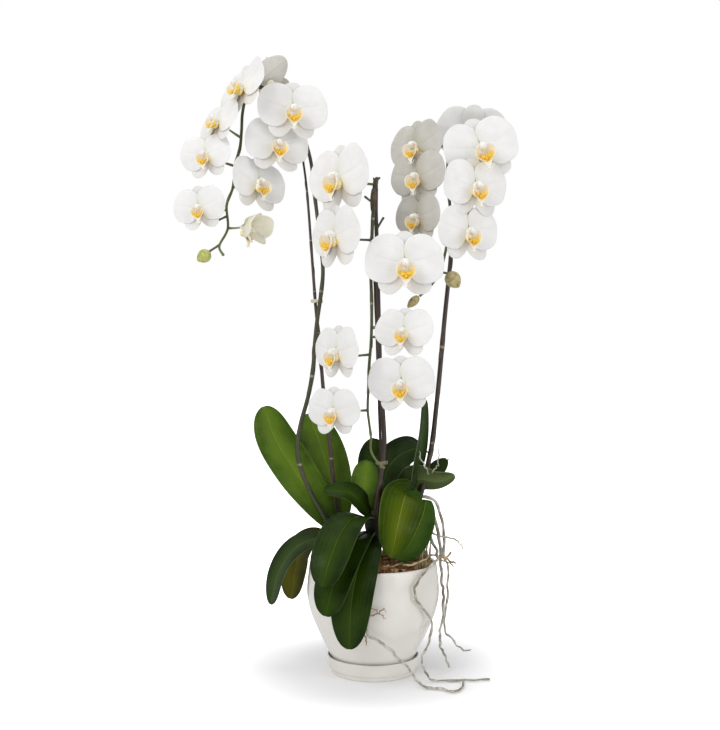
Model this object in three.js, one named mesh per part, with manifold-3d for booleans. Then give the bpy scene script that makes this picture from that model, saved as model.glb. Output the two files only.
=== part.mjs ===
// Potted moth orchid: three leafy plants with four flower stems, white blooms,
// aerial roots and a glazed pot standing in its saucer.
// Millimetres, +Z up, origin on the underside of the saucer, the viewer on the -Y side.
import * as THREE from 'three';
import Module from 'manifold-3d';

const wasm = await Module();
wasm.setup();

// ---- driving dimensions -------------------------------------------------
const CLEARANCE = 0.3; // gap between two pieces that touch
const SMOOTHING = 0.08; // detail finer than this is left out of the joints
const ROUND = 28; // sides of the turned pieces
const POT_WALL = 4.5;
const POT_RIM_HEIGHT = 137;
const POT_RIM_RADIUS = 80;
const POT_FOOT_HEIGHT = 4.3;
const POT_FLOOR = 5;
const SAUCER_HEIGHT = 21;
const SAUCER_RADIUS = 58;
const SAUCER_FOOT_RADIUS = 53;
const SAUCER_FLOOR = 4;
const MEDIUM_EDGE_HEIGHT = 131;
const MEDIUM_MOUND = 5;
const LEAF_THICKNESS = 1.9;
const PETAL_THICKNESS = 1.0;
const PETAL_LENGTH = 50;
const PETAL_WIDTH = 64;
const SEPAL_LENGTH = 46;
const TOP_SEPAL_LENGTH = 41;
const SEPAL_WIDTH = 31;
const STAKE_RADIUS = 1.9;
const TIE_HEIGHT = 4;

const vec = (list) => new THREE.Vector3(...list);
const UP = new THREE.Vector3(0, 0, 1);

// ---- closed bodies --------------------------------------------------------

/** Turns corner points and triangles into a solid with its faces outward. */
function solidOf(points, faces) {
  let volume = 0;
  for (const [a, b, c] of faces) {
    volume += points[a].dot(points[b].clone().cross(points[c]));
  }
  const turned = volume < 0 ? faces.map(([a, b, c]) => [a, c, b]) : faces;
  const vertProperties = new Float32Array(points.length * 3);
  points.forEach((point, i) => point.toArray(vertProperties, 3 * i));
  const triVerts = new Uint32Array(turned.flat());
  return new wasm.Manifold(new wasm.Mesh({ numProp: 3, vertProperties, triVerts }));
}

/** Joins solids that share some volume into one. */
function fuse(solids) {
  return solids.reduce((whole, next) => whole.add(next));
}

/** The largest of the separate bodies that a solid consists of. */
function mainBody(solid) {
  const bodies = solid.decompose();
  return bodies.reduce((best, next) => (next.volume() > best.volume() ? next : best));
}

/** A smooth open curve through points given as [x, y, z]. */
function curveThrough(points) {
  return new THREE.CatmullRomCurve3(points.map(vec), false, 'catmullrom', 0.5);
}

/** A round rod along a curve; its radius follows radiusAt(0..1). */
function rod(curve, radiusAt, { steps, sides = 5, grow = 0 }) {
  const points = [];
  const faces = [];
  let across = new THREE.Vector3(0.31, 0.92, 0.24);
  for (let i = 0; i <= steps; i += 1) {
    const along = curve.getTangent(i / steps).normalize();
    across = across.clone().addScaledVector(along, -across.dot(along)).normalize();
    const other = along.clone().cross(across);
    const centre = curve.getPoint(i / steps);
    if (i === 0) centre.addScaledVector(along, -grow);
    if (i === steps) centre.addScaledVector(along, grow);
    const radius = radiusAt(i / steps) + grow;
    for (let k = 0; k < sides; k += 1) {
      const turn = (2 * Math.PI * k) / sides;
      const point = centre.clone();
      point.addScaledVector(across, radius * Math.cos(turn));
      point.addScaledVector(other, radius * Math.sin(turn));
      points.push(point);
    }
  }
  for (let i = 0; i < steps; i += 1) {
    for (let k = 0; k < sides; k += 1) {
      const next = (k + 1) % sides;
      const low = i * sides;
      const high = low + sides;
      faces.push([low + k, low + next, high + next], [low + k, high + next, high + k]);
    }
  }
  const last = steps * sides;
  for (let k = 1; k < sides - 1; k += 1) {
    faces.push([0, k + 1, k], [last, last + k, last + k + 1]);
  }
  return solidOf(points, faces);
}

/** An egg-shaped body about a centre, its long axis along a direction. */
function bead(centre, axis, length, radius, { rows = 5, sides = 6, grow = 0 } = {}) {
  const half = axis.clone().normalize().multiplyScalar(length / 2);
  const ends = new THREE.LineCurve3(centre.clone().sub(half), centre.clone().add(half));
  const swell = (t) => {
    const width = Math.sqrt(Math.max(0, 1 - (2 * t - 1) ** 2));
    return Math.max(0.22, width) * radius;
  };
  return rod(ends, swell, { steps: rows, sides, grow });
}

/**
 * A thin closed blade with an even thickness.
 * curve: its midrib; face: the way its upper side looks; half(u): half its width;
 * fold: how steeply the two halves rise from the rib; cup: extra rise at the edges;
 * wave: [height, turns] of the ruffled edge.
 */
function blade(curve, face, half, options) {
  const { rows, cols, thickness, fold = 0, cup = 0, wave = [0, 1], grow = 0 } = options;
  const middle = [];
  for (let i = 0; i <= rows; i += 1) {
    const u = 0.5 - 0.5 * Math.cos((Math.PI * i) / rows);
    const along = curve.getTangent(u).normalize();
    const side = face.clone().cross(along).normalize();
    const normal = along.clone().cross(side);
    const row = [];
    for (let j = 0; j <= cols; j += 1) {
      const v = (2 * j) / cols - 1;
      const ripple = wave[0] * v * v * Math.sin(2 * Math.PI * wave[1] * u + 2 * v);
      const rise = (fold * Math.abs(v) + cup * v * v) * half(u) + ripple;
      const point = curve.getPoint(u);
      point.addScaledVector(side, v * half(u)).addScaledVector(normal, rise);
      row.push(point);
    }
    middle.push(row);
  }
  widenGrid(middle, grow);
  return slab(middle, thickness + 2 * grow);
}

/** Moves the border of a grid of points outward by a distance. */
function widenGrid(grid, distance) {
  const push = (point, inner) => {
    const out = point.clone().sub(inner).normalize();
    point.addScaledVector(out, distance);
  };
  for (const row of grid) {
    push(row[0], row[1]);
    push(row[row.length - 1], row[row.length - 2]);
  }
  const last = grid.length - 1;
  for (let j = 0; j < grid[0].length; j += 1) {
    push(grid[0][j], grid[1][j]);
    push(grid[last][j], grid[last - 1][j]);
  }
}

/** Gives a grid of points a thickness: two alike faces and a rim. */
function slab(grid, thickness) {
  const rows = grid.length - 1;
  const cols = grid[0].length - 1;
  const upper = [];
  const lower = [];
  for (let i = 0; i <= rows; i += 1) {
    for (let j = 0; j <= cols; j += 1) {
      const down = grid[Math.max(0, i - 1)][j];
      const ahead = grid[Math.min(rows, i + 1)][j];
      const left = grid[i][Math.max(0, j - 1)];
      const right = grid[i][Math.min(cols, j + 1)];
      const normal = right.clone().sub(left).cross(ahead.clone().sub(down)).normalize();
      upper.push(grid[i][j].clone().addScaledVector(normal, thickness / 2));
      lower.push(grid[i][j].clone().addScaledVector(normal, -thickness / 2));
    }
  }
  const wide = cols + 1;
  const under = upper.length;
  const faces = [];
  for (let i = 0; i < rows; i += 1) {
    for (let j = 0; j < cols; j += 1) {
      const a = i * wide + j;
      const [b, c, d] = [a + 1, a + wide + 1, a + wide];
      faces.push([a, b, c], [a, c, d]);
      faces.push([under + a, under + c, under + b], [under + a, under + d, under + c]);
    }
  }
  const border = [];
  for (let j = 0; j < cols; j += 1) border.push(j);
  for (let i = 0; i < rows; i += 1) border.push(i * wide + cols);
  for (let j = cols; j > 0; j -= 1) border.push(rows * wide + j);
  for (let i = rows; i > 0; i -= 1) border.push(i * wide);
  border.forEach((a, k) => {
    const b = border[(k + 1) % border.length];
    faces.push([a, under + a, under + b], [a, under + b, b]);
  });
  return solidOf([...upper, ...lower], faces);
}

/** Half width of a rounded outline: neck at the base, widest at belly, blunt tip. */
function outline(width, { neck, belly, tip, fullness = 1 }) {
  return (u) => {
    const low = u < belly;
    const s = low ? (belly - u) / belly : (u - belly) / (1 - belly);
    const end = low ? neck : tip;
    const round = Math.sqrt(Math.max(0, 1 - s * s)) ** (low ? fullness : 1);
    return (width / 2) * (end + (1 - end) * round);
  };
}

/** A turned body from its profile of [radius, height] pairs, closed on itself. */
function turned(profile, sides = ROUND) {
  const points = [];
  const faces = [];
  const rings = profile.map(([radius, height]) => {
    const start = points.length;
    const count = radius === 0 ? 1 : sides;
    for (let k = 0; k < count; k += 1) {
      const turn = (2 * Math.PI * k) / sides;
      points.push(vec([radius * Math.cos(turn), radius * Math.sin(turn), height]));
    }
    return { start, count };
  });
  rings.forEach((ring, i) => {
    const next = rings[(i + 1) % rings.length];
    if (ring.count === 1 && next.count === 1) return;
    for (let k = 0; k < sides; k += 1) {
      const [a, b] = [ring.start + (k % ring.count), ring.start + ((k + 1) % ring.count)];
      const [d, c] = [next.start + (k % next.count), next.start + ((k + 1) % next.count)];
      if (a !== b) faces.push([a, b, c]);
      if (c !== d) faces.push([a, c, d]);
    }
  });
  return solidOf(points, faces);
}

// ---- pot, saucer and growing medium ---------------------------------------

const POT_FOOT_RADIUS = 47;
const POT_INNER_FLOOR = POT_FOOT_HEIGHT + POT_FLOOR;
// [outer radius, height] from just above the foot to just below the rim
const POT_OUTSIDE = [
  [53.6, 20],
  [61, 35],
  [70.5, 55],
  [78.5, 74],
  [82.8, 92],
  [83.2, 108],
  [POT_RIM_RADIUS, POT_RIM_HEIGHT - 1.2],
];
// [inner radius, height] from the rim down to the floor inside
const POT_INSIDE = [
  [POT_RIM_RADIUS - POT_WALL, POT_RIM_HEIGHT - 1.2],
  [77.8, 90],
  [63.4, 50],
  [48.6, POT_INNER_FLOOR + 10],
  [43, POT_INNER_FLOOR],
];

function pot(grow) {
  return turned([
    [0, POT_FOOT_HEIGHT - grow],
    [POT_FOOT_RADIUS + grow, POT_FOOT_HEIGHT - grow],
    ...POT_OUTSIDE.map(([radius, height]) => [radius + grow, height]),
    [POT_RIM_RADIUS - 1.2 + grow, POT_RIM_HEIGHT + grow],
    [POT_RIM_RADIUS - POT_WALL + 1.2 - grow, POT_RIM_HEIGHT + grow],
    ...POT_INSIDE.map(([radius, height]) => [radius - grow, height]),
    [0, POT_INNER_FLOOR + grow],
  ]);
}

function saucer(grow) {
  return turned([
    [0, 0],
    [SAUCER_FOOT_RADIUS - 0.8, 0],
    [SAUCER_FOOT_RADIUS + grow, 0.8],
    [SAUCER_FOOT_RADIUS + 0.4 + grow, 4.4],
    [SAUCER_FOOT_RADIUS + 2.4 + grow, 6],
    [SAUCER_RADIUS - 1 + grow, 10],
    [SAUCER_RADIUS + grow, SAUCER_HEIGHT - 1],
    [SAUCER_RADIUS - 1, SAUCER_HEIGHT + grow],
    [SAUCER_RADIUS - 2 - grow, SAUCER_HEIGHT - 1],
    [SAUCER_RADIUS - 5.5, SAUCER_FLOOR + grow],
    [0, SAUCER_FLOOR + grow],
  ]);
}

/** Coarse bark filling the pot down to its floor, its lumpy top a little mounded. */
function growingMedium() {
  const rings = 4;
  const reach = POT_RIM_RADIUS - POT_WALL - CLEARANCE - 0.1;
  const lumps = (x, y) =>
    1.6 * Math.sin(0.21 * x + 0.7) * Math.cos(0.24 * y) + 1.1 * Math.sin(0.43 * y - 0.31 * x);
  const points = [];
  const faces = [];
  const addRing = (radius, heightAt, shift = 0) => {
    for (let k = 0; k < ROUND; k += 1) {
      const turn = (2 * Math.PI * (k + shift)) / ROUND;
      const [x, y] = [radius * Math.cos(turn), radius * Math.sin(turn)];
      points.push(vec([x, y, heightAt(x, y)]));
    }
  };
  for (let i = 1; i <= rings; i += 1) {
    const mound = MEDIUM_MOUND * (1 - (i / rings) ** 2);
    const height = (x, y) => MEDIUM_EDGE_HEIGHT + mound + lumps(x, y);
    addRing((reach * i) / rings, height, i % 2 === 0 ? 0.5 : 0);
  }
  for (const [radius, height] of POT_INSIDE.slice(1)) {
    const level = Math.max(height, POT_INNER_FLOOR + CLEARANCE);
    addRing(radius - CLEARANCE - 0.3, () => level);
  }
  const last = rings + POT_INSIDE.length - 1;
  for (let i = 0; i < last - 1; i += 1) {
    for (let k = 0; k < ROUND; k += 1) {
      const next = (k + 1) % ROUND;
      const [low, high] = [i * ROUND, (i + 1) * ROUND];
      if (i % 2 === 0) {
        faces.push([low + k, high + k, low + next], [high + k, high + next, low + next]);
      } else {
        faces.push([low + k, high + k, high + next], [low + k, high + next, low + next]);
      }
    }
  }
  const top = points.length;
  points.push(vec([0, 0, MEDIUM_EDGE_HEIGHT + MEDIUM_MOUND]));
  points.push(vec([0, 0, POT_INNER_FLOOR + CLEARANCE]));
  const foot = (last - 1) * ROUND;
  for (let k = 0; k < ROUND; k += 1) {
    const next = (k + 1) % ROUND;
    faces.push([top, k, next], [foot + k, top + 1, foot + next]);
  }
  return solidOf(points, faces);
}

// ---- flower stems -----------------------------------------------------------

// Each stem: its line of points, its radius at the base and at the tip, short
// side stubs and the closed buds it carries.
const STEMS = {
  stem_left_outer: {
    radii: [3.1, 1.5],
    points: [
      [-49, 0, 160], [-61, -8, 192], [-78, -14, 225], [-90, -16, 254], [-95, -14, 282],
      [-91, -8, 311], [-82, -4, 345], [-76, 0, 379], [-74, 4, 410], [-71, 8, 442],
      [-67, 12, 471], [-64, 16, 504], [-67, 22, 540], [-72, 28, 579], [-76, 34, 611],
      [-80, 38, 647], [-87, 42, 675], [-97, 44, 704], [-113, 44, 729], [-133, 42, 744],
      [-152, 38, 746], [-164, 34, 734], [-169, 32, 712], [-170, 30, 689], [-172, 28, 665],
      [-178, 26, 644], [-179, 24, 626], [-181, 22, 611], [-188, 20, 590], [-186, 16, 560],
      [-196, 10, 537], [-190, 6, 524],
    ],
    stubs: [
      { from: [-187, 17, 576], to: [-200, 12, 569] },
      { from: [-195, 11, 539], to: [-209, 6, 529] },
    ],
    buds: [{ at: [-215, 4, 523], axis: [-1, -0.2, -0.7], length: 20, radius: 8.6 }],
  },
  stem_left_inner: {
    radii: [3.0, 1.2],
    points: [
      [-42, 8, 160], [-45, 14, 192], [-51, 16, 240], [-56, 14, 292], [-63, 10, 350],
      [-68, 14, 410], [-73, 20, 455], [-76, 26, 490], [-80, 34, 540], [-84, 42, 590],
      [-88, 48, 630], [-94, 50, 668], [-102, 46, 700],
    ],
    stubs: [],
    buds: [],
  },
  stem_centre: {
    radii: [3.4, 1.3],
    points: [
      [-1, -6, 160], [2, -12, 196], [6, -12, 226], [11, -10, 253], [14, -6, 284],
      [13, 0, 315], [11, 6, 347], [9, 10, 385], [8, 14, 423], [7, 18, 468],
      [6, 20, 507], [5, 20, 546], [4, 18, 581], [4, 12, 606], [3, 2, 619],
      [2, -9, 612], [1, -15, 588], [-1, -17, 560], [-2, -18, 530], [-3, -19, 500],
      [-2, -20, 466], [-2, -22, 435], [-3, -24, 410], [-5, -26, 386], [-6, -28, 358],
      [-7, -30, 331], [-5, -32, 312], [-3, -34, 296], [-3, -36, 280], [4, -38, 267],
      [14, -40, 258],
    ],
    stubs: [
      { from: [4, 18, 590], to: [-11, 13, 601] },
      { from: [5, 20, 560], to: [14, 12, 574] },
      { from: [-2, -18, 541], to: [-27, -24, 541] },
      { from: [-4, -25, 398], to: [-24, -30, 396] },
      { from: [-7, -30, 329], to: [-30, -34, 328] },
    ],
    buds: [],
  },
  stem_right: {
    radii: [3.4, 1.4],
    points: [
      [50, 16, 180], [62, 14, 222], [70, 10, 257], [76, 8, 289], [80, 8, 325],
      [84, 10, 362], [88, 12, 404], [92, 16, 445], [96, 20, 481], [100, 24, 517],
      [104, 28, 552], [109, 34, 592], [113, 38, 624], [115, 38, 653], [113, 34, 673],
      [108, 26, 684], [102, 14, 680], [97, 5, 664], [95, 0, 642], [94, -3, 621],
      [95, -4, 603], [97, -5, 584], [96, -6, 561], [93, -8, 539], [89, -10, 519],
      [84, -12, 502], [76, -13, 489], [67, -14, 479], [58, -15, 471],
    ],
    stubs: [{ from: [84, -12, 502], to: [95, -16, 499] }],
    buds: [
      { at: [100, -18, 491], axis: [0.5, -0.3, -0.7], length: 24, radius: 10 },
      { at: [50, -16, 464], axis: [-0.8, 0, -0.8], length: 20, radius: 5.5 },
    ],
  },
};

/** Stem radius: tapers to the tip and swells a little at each node. */
function stemRadius([base, tip], nodes) {
  return (t) => base + (tip - base) * t + 0.35 * Math.cos(2 * Math.PI * nodes * t) ** 8;
}

function stem({ points, radii, stubs, buds }, grow) {
  const steps = points.length;
  const parts = [rod(curveThrough(points), stemRadius(radii, 9), { steps, grow })];
  for (const { from, to } of stubs) {
    const line = new THREE.LineCurve3(vec(from), vec(to));
    parts.push(rod(line, () => 1.2, { steps: 1, sides: 5, grow }));
  }
  for (const { at, axis, length, radius } of buds) {
    parts.push(bead(vec(at), vec(axis), length, radius, { rows: 5, sides: 7, grow }));
  }
  return fuse(parts);
}

const STAKE = [
  [7, 0, 150],
  [10, 3, 253],
  [9, 7, 300],
  [6.5, 16, 385],
  [3.5, 24, 468],
  [1.5, 28, 520],
];

function stake(grow) {
  return rod(curveThrough(STAKE), () => STAKE_RADIUS, { steps: 5, sides: 6, grow });
}

// Clips that hold a stem to its neighbour: where they sit and how far they reach.
const TIES = {
  tie_left: { at: [-72, 19, 467], reach: [8, 9] },
  tie_centre_upper: { at: [7.5, 16.5, 433], reach: [8.5, 8] },
  tie_centre_lower: { at: [11, -2.5, 262], reach: [8, 11] },
};

function tie({ at, reach }, grow) {
  const sides = 12;
  const points = [];
  const faces = [];
  for (const level of [-1, 1]) {
    for (let k = 0; k < sides; k += 1) {
      const turn = (2 * Math.PI * k) / sides;
      points.push(
        vec([
          at[0] + (reach[0] + grow) * Math.cos(turn),
          at[1] + (reach[1] + grow) * Math.sin(turn),
          at[2] + level * (TIE_HEIGHT / 2 + grow),
        ]),
      );
    }
  }
  for (let k = 0; k < sides; k += 1) {
    const next = (k + 1) % sides;
    faces.push([k, next, sides + next], [k, sides + next, sides + k]);
    if (k > 0 && k < sides - 1) {
      faces.push([0, k + 1, k], [sides, sides + k, sides + k + 1]);
    }
  }
  return solidOf(points, faces);
}

// ---- leafy crowns -------------------------------------------------------------

const CROWNS = {
  crown_left: { points: [[-44, 6, 122], [-47, 6, 150], [-48, 5, 186]], radii: [9, 8] },
  crown_centre: { points: [[0, -8, 122], [-1, -8, 160], [-1, -8, 204]], radii: [10, 8] },
  crown_right: { points: [[34, 12, 122], [42, 10, 170], [48, 8, 228]], radii: [9, 8] },
};

function crown({ points, radii }, grow) {
  const swell = (t) => radii[0] + (radii[1] - radii[0]) * t + 1.5 * Math.sin(9 * t);
  return rod(curveThrough(points), swell, { steps: 4, sides: 8, grow });
}

// Each leaf: midrib points from the crown to the tip, width, the way it faces, and
// shape: what differs from the usual outline.
const LEAVES = {
  leaf_left_tall: {
    points: [[-50, 0, 180], [-73, -4, 215], [-100, 0, 252], [-125, 4, 292], [-139, 10, 332]],
    width: 54,
    face: [0.3, -1, 0.35],
  },
  leaf_left_upright: {
    points: [[-45, 10, 178], [-49, 24, 211], [-58, 34, 249], [-69, 38, 283], [-84, 40, 322]],
    width: 58,
    face: [0.2, -1, 0.2],
  },
  leaf_left_drooping: {
    points: [[-54, 0, 168], [-78, -10, 166], [-102, -14, 151], [-119, -16, 124], [-128, -16, 86]],
    width: 40,
    face: [-0.7, -0.75, 1],
  },
  leaf_left_low: {
    points: [[-53, 10, 160], [-77, 26, 161], [-95, 36, 143], [-103, 40, 112], [-107, 40, 80]],
    width: 38,
    face: [-0.3, -1, 0.6],
  },
  leaf_front_short: {
    points: [[-2, -14, 198], [-10, -21, 207], [-20, -28, 219], [-35, -34, 229], [-61, -38, 231]],
    width: 36,
    face: [0.1, -0.8, 1],
    shape: { tip: 0.05 },
  },
  leaf_front_rising: {
    points: [[-5, -8, 196], [-12, -12, 221], [-11, -12, 243], [-7, -10, 265]],
    width: 35,
    face: [0.2, -1, 0.2],
  },
  leaf_front_left: {
    points: [[-6, -14, 193], [-24, -54, 200], [-39, -88, 187], [-51, -113, 160], [-60, -123, 131]],
    width: 50,
    face: [-0.35, -1, 0.75],
  },
  leaf_front_middle: {
    points: [[-5, -16, 176], [-21, -60, 173], [-37, -90, 153], [-49, -104, 124], [-56, -109, 94]],
    width: 46,
    face: [-0.3, -1, 0.7],
  },
  leaf_front_low: {
    points: [[-3, -18, 170], [-10, -56, 163], [-20, -84, 138], [-27, -94, 100], [-29, -95, 52]],
    width: 51,
    face: [-0.1, -1, 0.6],
  },
  leaf_back_upright: {
    points: [[0, 0, 196], [-1, 22, 230], [-2, 34, 259], [3, 40, 289]],
    width: 36,
    face: [0.1, -1, 0.3],
  },
  leaf_centre_arching: {
    points: [[5, 2, 190], [12, 14, 228], [22, 20, 256], [40, 22, 272], [62, 16, 280]],
    width: 46,
    face: [-0.4, -0.9, 0.5],
  },
  leaf_right_upright: {
    points: [[48, 6, 220], [56, 2, 258], [62, -2, 300], [65, -4, 342]],
    width: 30,
    face: [0.9, -0.5, 0.1],
  },
  leaf_right_arching: {
    points: [[42, 12, 212], [45, 12, 232], [59, 8, 240], [80, 0, 238], [103, -6, 245]],
    width: 41,
    face: [0.05, 0.85, 0.5],
    shape: { belly: 0.42, tip: 0.05, fullness: 1 },
  },
  leaf_right_bright: {
    points: [[43, -6, 216], [40, -24, 223], [35, -45, 212], [28, -60, 186], [21, -64, 153]],
    width: 55,
    face: [0.05, -1, 0.5],
    shape: { belly: 0.5, tip: 0.05, fullness: 0.8 },
  },
  leaf_right_shaded: {
    points: [[50, 2, 208], [55, -16, 217], [56, -30, 199], [46, -38, 171], [29, -44, 147]],
    width: 44,
    face: [0.4, -1, 0.5],
  },
  leaf_right_small: {
    points: [[52, 14, 222], [70, 24, 236], [84, 26, 251], [96, 24, 263]],
    width: 22,
    face: [0, -1, 0.6],
    shape: { tip: 0.05 },
  },
};

const LEAF_SHAPE = { neck: 0.3, belly: 0.62, tip: 0.16, fullness: 1.6 };

function leaf({ points, width, face, shape }, grow) {
  const half = outline(width, { ...LEAF_SHAPE, ...shape });
  return blade(curveThrough(points), vec(face), half, {
    rows: 9,
    cols: 2,
    thickness: LEAF_THICKNESS,
    fold: 0.16,
    wave: [1.2, 1.3],
    grow,
  });
}

// ---- blooms ---------------------------------------------------------------------

// Each bloom: the heart of the flower, the stem it hangs on, the turn of its face
// (0 to the viewer, + to the right), its upward tilt, its roll and its scale.
// open: how far the petals lean forward, in degrees (a half-open bloom leans most);
// hangs: the end of the side stub it hangs on, where it does not hang on the stem itself.
const BLOOMS = {
  bloom_left_01: {
    stem: 'stem_left_outer',
    at: [-166, -2, 736],
    turn: -50,
    tilt: 20,
    roll: -22,
    size: 0.9,
  },
  bloom_left_02: {
    stem: 'stem_left_outer',
    at: [-153, 47, 752],
    turn: 112,
    tilt: 36,
    size: 1.04,
    open: 46,
  },
  bloom_left_03: {
    stem: 'stem_left_inner',
    at: [-102, 2, 709],
    turn: 14,
    tilt: 2,
    roll: 2,
    size: 0.9,
  },
  bloom_left_04: {
    stem: 'stem_left_inner',
    at: [-122, 10, 667],
    turn: 22,
    tilt: 4,
    roll: 4,
    size: 0.86,
  },
  bloom_left_05: {
    stem: 'stem_left_outer',
    at: [-146, 10, 617],
    turn: 42,
    tilt: 6,
    roll: 8,
    size: 0.84,
  },
  bloom_left_06: {
    stem: 'stem_left_outer',
    at: [-196, -2, 693],
    turn: -48,
    tilt: 20,
    roll: -10,
    size: 0.74,
  },
  bloom_left_07: {
    stem: 'stem_left_outer',
    at: [-211, -6, 650],
    turn: -20,
    tilt: 2,
    roll: -6,
    size: 0.7,
  },
  bloom_left_08: {
    stem: 'stem_left_outer',
    at: [-219, -8, 583],
    turn: -10,
    tilt: 0,
    roll: -8,
    size: 0.68,
  },
  bloom_left_09: {
    stem: 'stem_left_outer',
    at: [-165, 4, 560],
    turn: 56,
    tilt: -8,
    size: 0.8,
    open: 42,
  },
  bloom_centre_01: {
    stem: 'stem_centre',
    at: [-43, -28, 617],
    turn: -42,
    tilt: 2,
    roll: -4,
    size: 1.02,
  },
  bloom_centre_02: {
    stem: 'stem_centre',
    at: [-48, -36, 544],
    turn: -48,
    tilt: 0,
    size: 0.93,
    hangs: [-27, -24, 541],
  },
  bloom_centre_03: {
    stem: 'stem_centre',
    at: [-45, -48, 401],
    turn: -46,
    tilt: -2,
    size: 0.8,
    hangs: [-24, -30, 396],
  },
  bloom_centre_04: {
    stem: 'stem_centre',
    at: [-49, -48, 329],
    turn: -24,
    tilt: -2,
    size: 0.72,
    hangs: [-30, -34, 328],
  },
  bloom_centre_05: { stem: 'stem_centre', at: [38, -47, 509], turn: 4, tilt: 0, size: 0.98 },
  bloom_centre_06: { stem: 'stem_centre', at: [37, -50, 426], turn: -22, tilt: 8, size: 0.74 },
  bloom_centre_07: {
    stem: 'stem_centre',
    at: [34, -54, 363],
    turn: -16,
    tilt: 0,
    roll: -4,
    size: 0.84,
  },
  bloom_right_01: {
    stem: 'stem_right',
    at: [136, -6, 658],
    turn: 4,
    tilt: 4,
    roll: -16,
    size: 1,
  },
  bloom_right_02: { stem: 'stem_right', at: [128, -16, 608], turn: 22, tilt: 4, size: 0.9 },
  bloom_right_03: { stem: 'stem_right', at: [119, -18, 551], turn: 25, tilt: 2, size: 0.86 },
  bloom_right_04: {
    stem: 'stem_right',
    at: [55, 14, 665],
    turn: -40,
    tilt: 4,
    roll: -6,
    size: 0.84,
  },
  bloom_right_05: {
    stem: 'stem_right',
    at: [56, 4, 624],
    turn: -34,
    tilt: 2,
    roll: -4,
    size: 0.82,
  },
  bloom_right_06: { stem: 'stem_right', at: [56, 0, 572], turn: -44, tilt: 0, size: 0.76 },
  bloom_right_07: {
    stem: 'stem_right',
    at: [131, 46, 686],
    turn: 164,
    tilt: 18,
    roll: -8,
    size: 0.98,
  },
};

const PETAL_SHAPE = { neck: 0.14, belly: 0.44, tip: 0.3, fullness: 0.6 };
const SEPAL_SHAPE = { neck: 0.15, belly: 0.5, tip: 0.26 };
const LIP_SHAPE = { neck: 0.25, belly: 0.5, tip: 0.25 };
// The angle of each petal and sepal from straight up, in degrees.
const TEPALS = [
  { angle: 75, kind: 'petal' },
  { angle: -75, kind: 'petal' },
  { angle: 0, kind: 'sepal', reach: TOP_SEPAL_LENGTH },
  { angle: 143, kind: 'sepal' },
  { angle: -143, kind: 'sepal' },
];

/** The three directions of a bloom: the way it looks, its upward and its right side. */
function bloomAxes({ turn, tilt, roll = 0 }) {
  const yaw = THREE.MathUtils.degToRad(turn);
  const pitch = THREE.MathUtils.degToRad(tilt);
  const front = new THREE.Vector3(
    Math.sin(yaw) * Math.cos(pitch),
    -Math.cos(yaw) * Math.cos(pitch),
    Math.sin(pitch),
  );
  const up = UP.clone().addScaledVector(front, -front.z).normalize();
  up.applyAxisAngle(front, -THREE.MathUtils.degToRad(roll));
  const right = up.clone().cross(front).negate();
  return { front, up, right };
}

/** Where a bloom's own coordinates (right, up, front) lie in the object. */
function bloomPoint(spec, axes, right, up, front) {
  const size = spec.size ?? 1;
  const point = vec(spec.at);
  point.addScaledVector(axes.right, right * size);
  point.addScaledVector(axes.up, up * size);
  return point.addScaledVector(axes.front, front * size);
}

function tepal(spec, axes, { angle, kind, reach: own }, grow) {
  const size = spec.size ?? 1;
  const petal = kind === 'petal';
  const turn = THREE.MathUtils.degToRad(angle);
  const length = own ?? (petal ? PETAL_LENGTH : SEPAL_LENGTH);
  const lean = THREE.MathUtils.degToRad(spec.open ?? (petal ? -3 : -6));
  const depth = petal ? 1 : -1.5;
  const reach = (share, tipLean) => {
    const out = share * length * Math.cos(tipLean);
    return bloomPoint(
      spec,
      axes,
      out * Math.sin(turn),
      out * Math.cos(turn),
      depth + share * length * Math.sin(tipLean),
    );
  };
  const bent = spec.open ? lean * 1.25 : lean * 0.4;
  const rib = new THREE.QuadraticBezierCurve3(
    reach(0.05, 0),
    reach(0.5, lean * 1.3),
    reach(1, bent),
  );
  const width = size * (petal ? PETAL_WIDTH : SEPAL_WIDTH) * (spec.open ? 0.62 : 1);
  const shape = outline(width, petal ? PETAL_SHAPE : SEPAL_SHAPE);
  return blade(rib, axes.front, shape, {
    rows: petal ? 4 : 3,
    cols: petal ? 2 : 1,
    thickness: PETAL_THICKNESS,
    cup: spec.open ? 0.3 : -0.07,
    wave: petal ? [0.9 * size, 0.9] : [0, 1],
    grow,
  });
}

/** The lip: a trough whose raised sides flank the column and whose tip hangs down. */
function lip(spec, axes, grow) {
  const size = spec.size ?? 1;
  const at = (up, front) => bloomPoint(spec, axes, 0, up, front);
  const floor = new THREE.QuadraticBezierCurve3(at(-2, 4), at(-17, 16), at(-30, 13));
  const facing = axes.up.clone().add(axes.front);
  return blade(floor, facing, outline(24 * size, LIP_SHAPE), {
    rows: 2,
    cols: 2,
    thickness: PETAL_THICKNESS,
    cup: 0.8,
    grow,
  });
}

/** The point of a curve that lies nearest to a place. */
function nearestOn(curve, place) {
  const samples = curve.getPoints(200);
  return samples.reduce((best, next) =>
    next.distanceTo(place) < best.distanceTo(place) ? next : best,
  );
}

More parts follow.
